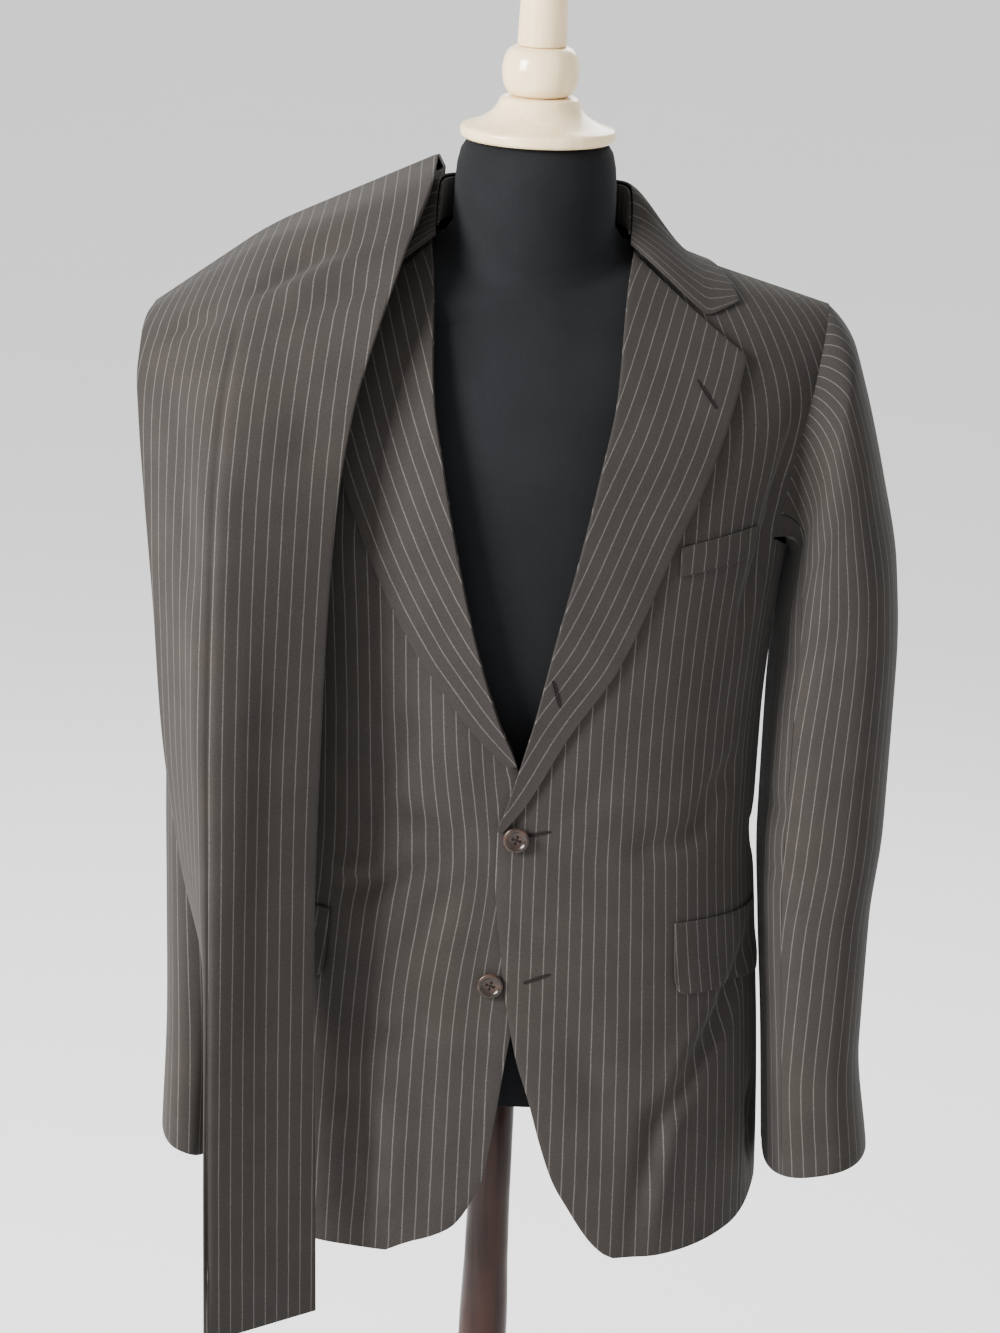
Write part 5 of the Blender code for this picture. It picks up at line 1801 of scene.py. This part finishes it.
# --- buttons and buttonholes
@dataclass
class Haberdashery:
    """Four-hole horn buttons with their thread, and worked buttonholes."""

    shape: JacketShape
    sleeves: Sleeves
    lapels: LapelsAndCollar
    horn: bpy.types.Material
    thread: bpy.types.Material
    hole_shade_finish: bpy.types.Material
    front_d: float = 0.0195
    front_h: float = 0.0042
    cuff_d: float = 0.0150
    cuff_h: float = 0.0035
    lay: float = 0.0010
    cuff_lay: float = 0.00096
    cuff_turn: float = math.radians(-42.0)
    cuff_first_t: float = 0.957
    cuff_step_t: float = 0.020

    def button(self, name: str, node: str, diameter: float, height: float, seat: Triple, normal: Triple,
               spin: float) -> None:
        """Makes one sewn-on button.

        Args:
            name: Name of the piece.
            node: CAD node that it stands for.
            diameter: Its diameter.
            height: Its height.
            seat: Centre of its back.
            normal: Direction that it faces.
            spin: Turn of its four holes.
        """
        r = 0.5 * diameter
        facing = Vector((0.0, 0.0, 1.0)).rotation_difference(Vector(normal))
        matrix = Matrix.Translation(seat) @ facing.to_matrix().to_4x4() @ Matrix.Rotation(spin, 4, "Z")
        button = turn_up(name, (
            (0.0, 0.60 * height), (0.50 * r, 0.61 * height), (0.60 * r, 0.66 * height),
            (0.68 * r, 0.86 * height), (0.76 * r, 0.98 * height), (0.84 * r, height),
            (0.92 * r, 0.95 * height), (0.98 * r, 0.82 * height), (r, 0.66 * height),
            (0.97 * r, 0.48 * height), (0.84 * r, 0.20 * height), (0.66 * r, 0.0), (0.0, 0.0),
        ), self.horn, (node,), matrix, 48, 0.0)
        hole = 0.20 * r
        # Painted shade: the holes are not cut; near-black discs stand in the button's face where the shaded
        # holes are.
        hole_shade_discs = bmesh.new()
        for x, y in ((1, 1), (1, -1), (-1, 1), (-1, -1)):
            made = bmesh.ops.create_cone(hole_shade_discs, cap_ends=True, segments=14, radius1=0.100 * r,
                                         radius2=0.112 * r, depth=0.12 * height)
            bmesh.ops.translate(hole_shade_discs, verts=made["verts"], vec=(x * hole, y * hole, 0.565 * height))
        bmesh.ops.transform(hole_shade_discs, matrix=matrix, verts=hole_shade_discs.verts)
        holes = add_piece(name + "_hole_shade", hole_shade_discs, self.hole_shade_finish)
        holes.parent = button
        sewn = bmesh.new()
        for sign in (1, -1):
            made = bmesh.ops.create_icosphere(sewn, subdivisions=2, radius=1.0)
            scale = Matrix.Diagonal((1.25 * hole, 0.060 * r, 0.10 * height, 1.0))
            lift = Matrix.Translation((0.0, 0.0, 0.66 * height))
            crossing = Matrix.Rotation(sign * math.radians(45.0), 4, "Z")
            bmesh.ops.transform(sewn, matrix=lift @ crossing @ scale,
                                verts=made["verts"])
        bmesh.ops.transform(sewn, matrix=matrix, verts=sewn.verts)
        stitches = add_piece(name + "_thread", sewn, self.thread)
        stitches.parent = button

    def buttonhole(self, name: str, surface: Place, start: tuple[float, float], end: tuple[float, float],
                   eyelet: bool = True) -> None:
        """Makes a worked buttonhole on a surface.

        Args:
            name: Name of the piece.
            surface: Point of the cloth's outer face for two coordinates.
            start: Coordinates of its eyelet end.
            end: Coordinates of its bar end.
            eyelet: Whether the start is widened to an eyelet.
        """
        long_steps, round_steps = 34, 10
        slit, eyelet_slit, eyelet_reach = 0.00075, 0.0009, 0.0022
        cord_w, cord_h, cord_lift = 0.00062, 0.00042, 0.00022
        a, b = surface(*start), surface(*end)
        along = unit(difference(b, a))
        length = math.dist(a, b)
        bm = bmesh.new()
        layer_points: list[list[Triple]] = []
        for i in range(long_steps + 1):
            turn = 2.0 * math.pi * i / long_steps
            reach = 0.5 + 0.5 * math.cos(turn)
            u = start[0] + (end[0] - start[0]) * (1.0 - reach)
            v = start[1] + (end[1] - start[1]) * (1.0 - reach)
            centre = surface(u, v)
            d = 0.01
            across_u = difference(surface(u + d, v), surface(u - d, v))
            across_v = difference(surface(u, v + d), surface(u, v - d))
            normal = unit(cross(across_u, across_v))
            if normal[1] > 0.0:
                normal = (-normal[0], -normal[1], -normal[2])
            side = unit(cross(normal, along))
            half = slit
            if eyelet:
                half += eyelet_slit * math.exp(-((1.0 - reach) * length / eyelet_reach) ** 2)
            middle = moved(moved(centre, side, 1.15 * half * math.sin(turn)), normal, cord_lift)
            outward = unit(tuple(
                side[k] * math.sin(turn) - along[k] * math.cos(turn) * 0.8 for k in range(3)
            ))
            layer_points.append([
                moved(moved(middle, outward, cord_w * math.cos(bend)), normal, cord_h * math.sin(bend))
                for bend in (2.0 * math.pi * k / round_steps for k in range(round_steps))
            ])
        bmesh.ops.create_grid(bm, x_segments=long_steps, y_segments=round_steps, size=0.5)
        for vertex in bm.verts:
            i = round((vertex.co.x + 0.5) * long_steps) % long_steps
            k = round((vertex.co.y + 0.5) * round_steps) % round_steps
            vertex.co = layer_points[i][k]
        bmesh.ops.remove_doubles(bm, verts=bm.verts, dist=0.000001)
        bmesh.ops.recalc_face_normals(bm, faces=bm.faces)
        add_piece(name, bm, self.thread)

    def build(self) -> None:
        """Builds every button and buttonhole."""
        for name, side, x, z, tuck in (
            ("button_waist", "left", 0.0080, 0.9800, 0.0),
            ("button_low", "left", -0.0062, 0.8650, WALL + LAY + 0.0004),
        ):
            v = JACKET_TORSO.level(z, x)
            seat = JACKET_TORSO.off(JACKET_TORSO.angle_at(x, v), v, self.lay - tuck)
            self.button(name + "_horn", name, self.front_d, self.front_h, seat, (0.0, -1.0, 0.0), 0.5)
        for side, sign in (("left", 1.0), ("right", -1.0)):
            for i in range(4):
                t = self.cuff_first_t - self.cuff_step_t * i
                (x, y, z), (nx, ny, nz) = self.sleeves.outward(self.cuff_turn, t, sign < 0.0)
                seat = (sign * (x + nx * self.cuff_lay), y + ny * self.cuff_lay, z + nz * self.cuff_lay)
                self.button(f"cuff_button_{side}_{i + 1}_horn", f"cuff_button_{side}_{i + 1}", self.cuff_d,
                            self.cuff_h, seat, (sign * nx, ny, nz), 0.3 * i)

        def front(x: float, z: float) -> Triple:
            """Point of the front."""
            return self.shape.on_front("left", x, z)
        self.buttonhole("buttonhole_waist", front, (0.0115, 0.9815), (0.0325, 0.9862))
        self.buttonhole("buttonhole_low", front, (0.0185, 0.8680), (0.0375, 0.8755))
        lapel = self.lapels.lapel_place("left")
        self.buttonhole("buttonhole_lapel", lapel, (0.66, 0.905), (0.86, 0.885), eyelet=False)
        self.buttonhole("buttonhole_roll", lapel, (0.10, 0.300), (0.42, 0.262))


# --- trousers
RAILS = ("r_x", "r_y", "r_z", "k_x", "k_y", "k_z", "l_x", "l_y", "l_z")
DRAPE_ROWS = (
    (-0.1250, -0.1480, 0.612, -0.2070, -0.1960, 0.604, -0.1990, -0.1740, 0.606),
    (-0.1290, -0.1480, 0.740, -0.2100, -0.1950, 0.740, -0.2030, -0.1660, 0.740),
    (-0.1330, -0.1480, 0.850, -0.2115, -0.1930, 0.850, -0.2090, -0.1480, 0.850),
    (-0.1350, -0.1480, 0.960, -0.2125, -0.1920, 0.960, -0.2360, -0.1300, 0.960),
    (-0.1340, -0.1500, 1.060, -0.2145, -0.1880, 1.060, -0.2520, -0.1250, 1.060),
    (-0.1320, -0.1530, 1.150, -0.2150, -0.1840, 1.150, -0.2600, -0.1200, 1.150),
    (-0.1280, -0.1520, 1.230, -0.2150, -0.1740, 1.225, -0.2690, -0.1060, 1.225),
    (-0.1190, -0.1420, 1.300, -0.2130, -0.1500, 1.290, -0.2760, -0.0860, 1.278),
    (-0.1040, -0.1200, 1.358, -0.2080, -0.1120, 1.340, -0.2800, -0.0600, 1.308),
    (-0.0880, -0.0820, 1.408, -0.2000, -0.0680, 1.378, -0.2800, -0.0300, 1.330),
    (-0.0740, -0.0300, 1.446, -0.1940, -0.0200, 1.397, -0.2780, 0.0000, 1.338),
    (-0.0720, 0.0200, 1.458, -0.1920, 0.0300, 1.400, -0.2770, 0.0300, 1.338),
)
SEAT_ROWS = (
    (-0.0720, 0.0203, 1.4581, -0.1920, 0.0303, 1.4001, -0.2770, 0.0303, 1.3381),
    (-0.0720, 0.0800, 1.4480, -0.1900, 0.0850, 1.3800, -0.2770, 0.0750, 1.3170),
    (-0.0740, 0.1300, 1.4040, -0.1880, 0.1260, 1.3400, -0.2780, 0.1080, 1.2800),
    (-0.0780, 0.1500, 1.3300, -0.1880, 0.1450, 1.2800, -0.2790, 0.1260, 1.2300),
    (-0.0820, 0.1540, 1.2500, -0.1890, 0.1500, 1.2200, -0.2790, 0.1330, 1.1900),
)
BAND_ROWS = (
    (-0.0820, 0.1540, 1.2492, -0.1890, 0.1500, 1.2192, -0.2790, 0.1330, 1.1892),
    (-0.0850, 0.1550, 1.2080, -0.1900, 0.1510, 1.1780, -0.2790, 0.1345, 1.1480),
)


FOLDED_WIDTH = 0.17
FOLDED_LENGTH = 0.97


class Stack:
    """Outer face of a stretch of the folded trousers, from its neck side over the ridge to its arm side."""

    SETTLE = 0.0024
    KNEE = 0.10

    def __init__(self, rows: Sequence[Sequence[float]]) -> None:
        """Reads the three rails' table.

        Args:
            rows: Table of the rails.
        """
        self.rails = curves(RAILS, rows, by_row=True)
        self.last = len(rows) - 1
        self.row = lru_cache(maxsize=None)(self._row)

    def _row(self, t: float) -> tuple[Triple, Triple, Triple]:
        """The three rail points at a share of the way along.

        Args:
            t: Share along.

        Returns:
            The points.
        """
        at = t * self.last
        values = {name: curve(at) for name, curve in self.rails.items()}
        return tuple((values[f"{r}_x"], values[f"{r}_y"], values[f"{r}_z"] - self.SETTLE) for r in "rkl")

    def point(self, s: float, t: float) -> Triple:
        """Point of the face.

        Args:
            s: Share across.
            t: Share along.

        Returns:
            The point.
        """
        r, k, l = self.row(t)
        bend = 0.5
        if s < bend - self.KNEE:
            return mix(r, k, s / bend)
        if s > bend + self.KNEE:
            return mix(k, l, (s - bend) / (1.0 - bend))
        a = mix(r, k, (bend - self.KNEE) / bend)
        b = mix(k, l, self.KNEE / (1.0 - bend))
        u = (s - bend + self.KNEE) / (2.0 * self.KNEE)
        return tuple((1 - u) ** 2 * p + 2 * u * (1 - u) * q + u * u * w for p, q, w in zip(a, k, b))

    def inward(self, s: float, t: float) -> Triple:
        """Direction into the stack.

        Args:
            s: Share across.
            t: Share along.

        Returns:
            The direction.
        """
        d = 0.004
        across = difference(self.point(min(s + d, 1.0), t), self.point(max(s - d, 0.0), t))
        up = difference(self.point(s, min(t + d, 1.0)), self.point(s, max(t - d, 0.0)))
        return unit(cross(across, up))


@dataclass
class Trousers:
    """Trousers folded on their creases over the shoulder: two legs, the seat and the waistband."""

    wool: bpy.types.Material
    leg_depth: float = 0.0036
    under_depth: float = 0.0080
    leg_gap: float = 0.0008
    seat_depth: float = 0.0125
    band_depth: float = 0.0135
    cloth: float = 0.0011
    under_low: float = 0.37
    under_high: float = 0.96
    stack: Stack = field(default_factory=lambda: Stack(DRAPE_ROWS))
    seat: Stack = field(default_factory=lambda: Stack(SEAT_ROWS))
    band: Stack = field(default_factory=lambda: Stack(BAND_ROWS))

    @staticmethod
    def flattened(stack: Stack, depth: float, spread: Callable[[float, float], tuple[float, float]],
                  inset: float = 0.0, folds: Sequence[Fold] = ()) -> Place:
        """Placing of a flat tube of cloth.

        Args:
            stack: Face that the tube lies in.
            depth: Its thickness over both layers.
            spread: Turns a share across and a share along the tube into the stack's own.
            inset: How far its outer layer lies in from the stack's face.
            folds: Creases that run through both of its layers.

        Returns:
            Placing for w round the tube, starting at its back, and t along it.
        """
        turn_share, margin = 0.04, 0.008

        def place(w: float, t: float) -> Triple:
            """Point of the tube."""
            w = (w + 0.75) % 1.0
            half = 0.5 - turn_share
            if w < half:
                share, down = w / half, 0.0
            elif w < 0.5:
                angle = math.pi * (w - half) / turn_share
                share, down = 1.0, 0.5 * (1.0 - math.cos(angle))
            elif w < 1.0 - turn_share:
                share, down = 1.0 - (w - 0.5) / half, 1.0
            else:
                angle = math.pi * (w - 1.0 + turn_share) / turn_share
                share, down = 0.0, 0.5 * (1.0 + math.cos(angle))
            bow = 2.0 * math.sqrt(max(down * (1.0 - down), 0.0)) * 0.5 * depth / 0.16
            share = share + bow if share > 0.5 else share - bow
            share = margin + (1.0 - 2.0 * margin) * share
            s, along = spread(share, t)
            point = stack.point(s, along)
            raised = relief(folds, (0.5 - s) * FOLDED_WIDTH, along * FOLDED_LENGTH)
            return moved(point, stack.inward(s, along), inset + down * depth - raised)
        return place

    def build(self) -> None:
        """Builds the four stretches."""
        def outer(share: float, t: float) -> tuple[float, float]:
            """The whole face, from fold to fold."""
            return clamp(1.0 - share), t

        def under(share: float, t: float) -> tuple[float, float]:
            """Where the under leg lies behind the face."""
            reach = self.under_low + (self.under_high - self.under_low) * ease((t - 0.18) / 0.28)
            return clamp(0.03 + (reach - 0.03) * (1.0 - share)), 0.004 + 0.992 * t

        Cloth("trouser_leg_left", self.flattened(self.stack, self.leg_depth - self.cloth, outer,
                                                 folds=self.leg_folds()),
              200, 200, self.wool,
              (0.36, 0.97), 0.283, wall=self.cloth, held=Held.FOLDED, rests_on=("trouser_leg_right",),
              closed=True, anchor=0.5).build()
        Cloth("trouser_leg_right",
              self.flattened(self.stack, self.under_depth - self.cloth, under, self.leg_depth + self.leg_gap,
                             self.leg_folds()), 120, 130,
              self.wool, (0.33, 0.96), 0.215, wall=self.cloth, held=Held.FOLDED, rests_on=("front_right",),
              closed=True, anchor=0.5).build()
        Cloth("trouser_seat", self.flattened(self.seat, self.seat_depth - self.cloth, outer), 120, 60,
              self.wool,
              (0.46, 0.26), 0.106, wall=self.cloth, held=Held.FOLDED, rests_on=("back_right",), closed=True,
              anchor=0.5).build()
        Cloth("trouser_waistband", self.flattened(self.band, self.band_depth - self.cloth, outer), 120, 14,
              self.wool,
              (0.44, 0.042), 0.0164, wall=self.cloth, held=Held.FOLDED, rests_on=("back_right",), closed=True,
              anchor=0.5).build()

    @staticmethod
    def leg_folds() -> tuple[Fold, ...]:
        """Creases of both legs: across from the stack's middle, and up from the hem."""
        return (
            Fold(((0.000, 0.010), (0.000, 0.360), (0.000, 0.740)), -0.0019, 0.0034, 0.05),
            Fold(((-0.004, 0.756), (0.020, 0.784), (0.046, 0.826)), -0.0042, 0.0120),
            Fold(((0.016, 0.746), (0.040, 0.772), (0.068, 0.800)), 0.0038, 0.0160),
            Fold(((0.020, 0.712), (0.050, 0.738), (0.084, 0.762)), -0.0030, 0.0130),
            Fold(((-0.012, 0.735), (-0.036, 0.750), (-0.064, 0.756)), -0.0024, 0.0130),
            Fold(((0.040, 0.660), (0.058, 0.600), (0.062, 0.540)), -0.0022, 0.0160),
            Fold(((0.050, 0.060), (0.046, 0.240), (0.056, 0.440)), -0.0022, 0.0170),
            Fold(((0.024, 0.180), (0.028, 0.330), (0.024, 0.490)), 0.0015, 0.0130),
            Fold(((-0.022, 0.420), (-0.030, 0.520), (-0.044, 0.660)), -0.0026, 0.0140),
            Fold(((-0.014, 0.300), (-0.020, 0.400), (-0.026, 0.500)), 0.0018, 0.0120),
        )


# --- studio
@dataclass
class Studio:
    """Pale floor, soft light and the camera."""

    eye: Triple = (0.0, -2.6, 1.86)
    target: Triple = (-0.010, 0.0, 1.075)
    roll: float = math.radians(2.6)
    focal_share: float = 3615.0 / 1333.0
    air: Triple = (0.93, 0.935, 0.94)
    air_strength: float = 1.35

    def make_camera(self) -> None:
        """The camera, a little above the shoulders and turned by its roll."""
        forward = (Vector(self.target) - Vector(self.eye)).normalized()
        right = forward.cross(Vector((0.0, 0.0, 1.0))).normalized()
        up = right.cross(forward)
        c, s = math.cos(self.roll), math.sin(self.roll)
        turned_right, turned_up = c * right + s * up, c * up - s * right
        lens = bpy.data.cameras.new("studio_camera")
        lens.sensor_fit = "VERTICAL"
        lens.sensor_height = 24.0
        lens.lens = 24.0 * self.focal_share
        camera = bpy.data.objects.new("studio_camera", lens)
        turn = Matrix((turned_right, turned_up, -forward)).transposed().to_4x4()
        camera.matrix_world = Matrix.Translation(self.eye) @ turn
        bpy.context.scene.collection.objects.link(camera)
        bpy.context.scene.camera = camera

    @staticmethod
    def make_light(name: str, place: Triple, aim: Triple, size: tuple[float, float], power: float,
                   colour: Triple = (1.0, 1.0, 1.0)) -> None:
        """Adds a soft panel light.

        Args:
            name: Name of the light.
            place: Where it stands.
            aim: What it faces.
            size: Width and height of its panel.
            power: Its power in watts.
            colour: Its colour.
        """
        lamp = bpy.data.lights.new(name, "AREA")
        lamp.shape = "RECTANGLE"
        lamp.size, lamp.size_y = size
        lamp.energy = power
        lamp.color = colour
        light = bpy.data.objects.new(name, lamp)
        light.location = place
        light.rotation_euler = (Vector(aim) - Vector(place)).to_track_quat("-Z", "Y").to_euler()
        bpy.context.scene.collection.objects.link(light)

    def build(self) -> None:
        """Builds the studio."""
        bm = bmesh.new()
        bmesh.ops.create_grid(bm, x_segments=24, y_segments=24, size=40.0)
        bmesh.ops.translate(bm, verts=bm.verts, vec=(0.0, 0.0, -0.0004))
        mesh = bpy.data.meshes.new("floor")
        bm.to_mesh(mesh)
        bm.free()
        mesh.materials.append(Plaster().build())
        floor = bpy.data.objects.new("floor", mesh)
        bpy.context.scene.collection.objects.link(floor)
        world = bpy.data.worlds.new("studio_air")
        world.use_nodes = True
        world.node_tree.nodes["Background"].inputs["Color"].default_value = (*self.air, 1.0)
        world.node_tree.nodes["Background"].inputs["Strength"].default_value = self.air_strength
        bpy.context.scene.world = world
        self.make_light("key_light", (-2.5, -1.7, 2.3), (0.0, 0.0, 1.15), (1.1, 1.4), 420.0)
        self.make_light("fill_light", (2.4, -1.9, 1.7), (0.05, 0.0, 1.0), (1.8, 2.2), 8.0)
        self.make_light("back_light", (0.6, 2.4, 2.6), (0.0, 0.0, 1.2), (1.8, 1.4), 60.0)
        self.make_camera()


def make_finishes() -> tuple[dict[Slot, bpy.types.Material], bpy.types.Material, bpy.types.Material]:
    """Builds the node groups and every finish.

    Returns:
        The finish of each slot, the thread and the painted shade of the button holes.
    """
    pinstripe_group()
    weave_group()
    grain_group()
    finishes = {
        Slot.WOOL: Wool().build(),
        Slot.HORN: Horn().build(),
        Slot.JERSEY: Jersey().build(),
        Slot.PALE_WOOD: Lacquer("pale_lacquer", (0.80, 0.63, 0.38), (0.68, 0.48, 0.25), 0.5, 0.22, 0.25,
                                0.5).build(),
        Slot.DARK_WOOD: Lacquer("dark_stain", (0.030, 0.012, 0.009), (0.010, 0.004, 0.003), 0.8, 0.34, 0.0,
                                0.16).build(),
    }
    # Painted shade: a near-black finish for the discs that stand in for the shaded holes of the buttons.
    hole_shade_finish = Thread("painted_hole_shade", (0.006, 0.004, 0.004)).build()
    return finishes, Thread().build(), hole_shade_finish


def main() -> None:
    """Builds the form, the jacket, the trousers and the studio in order."""
    logging.basicConfig(level=logging.INFO, format="%(name)s %(message)s")
    finishes, thread, hole_shade_finish = make_finishes()
    wool, horn = finishes[Slot.WOOL], finishes[Slot.HORN]
    shape = JacketShape()
    DressForm().build(finishes)
    JacketBody(wool, shape).build()
    lapels = LapelsAndCollar(wool, shape)
    lapels.build()
    sleeves = Sleeves(wool)
    sleeves.build()
    Pockets(wool, shape).build()
    Haberdashery(shape, sleeves, lapels, horn, thread, hole_shade_finish).build()
    Trousers(wool).build()
    Studio().build()


if __name__ == "__main__":
    main()
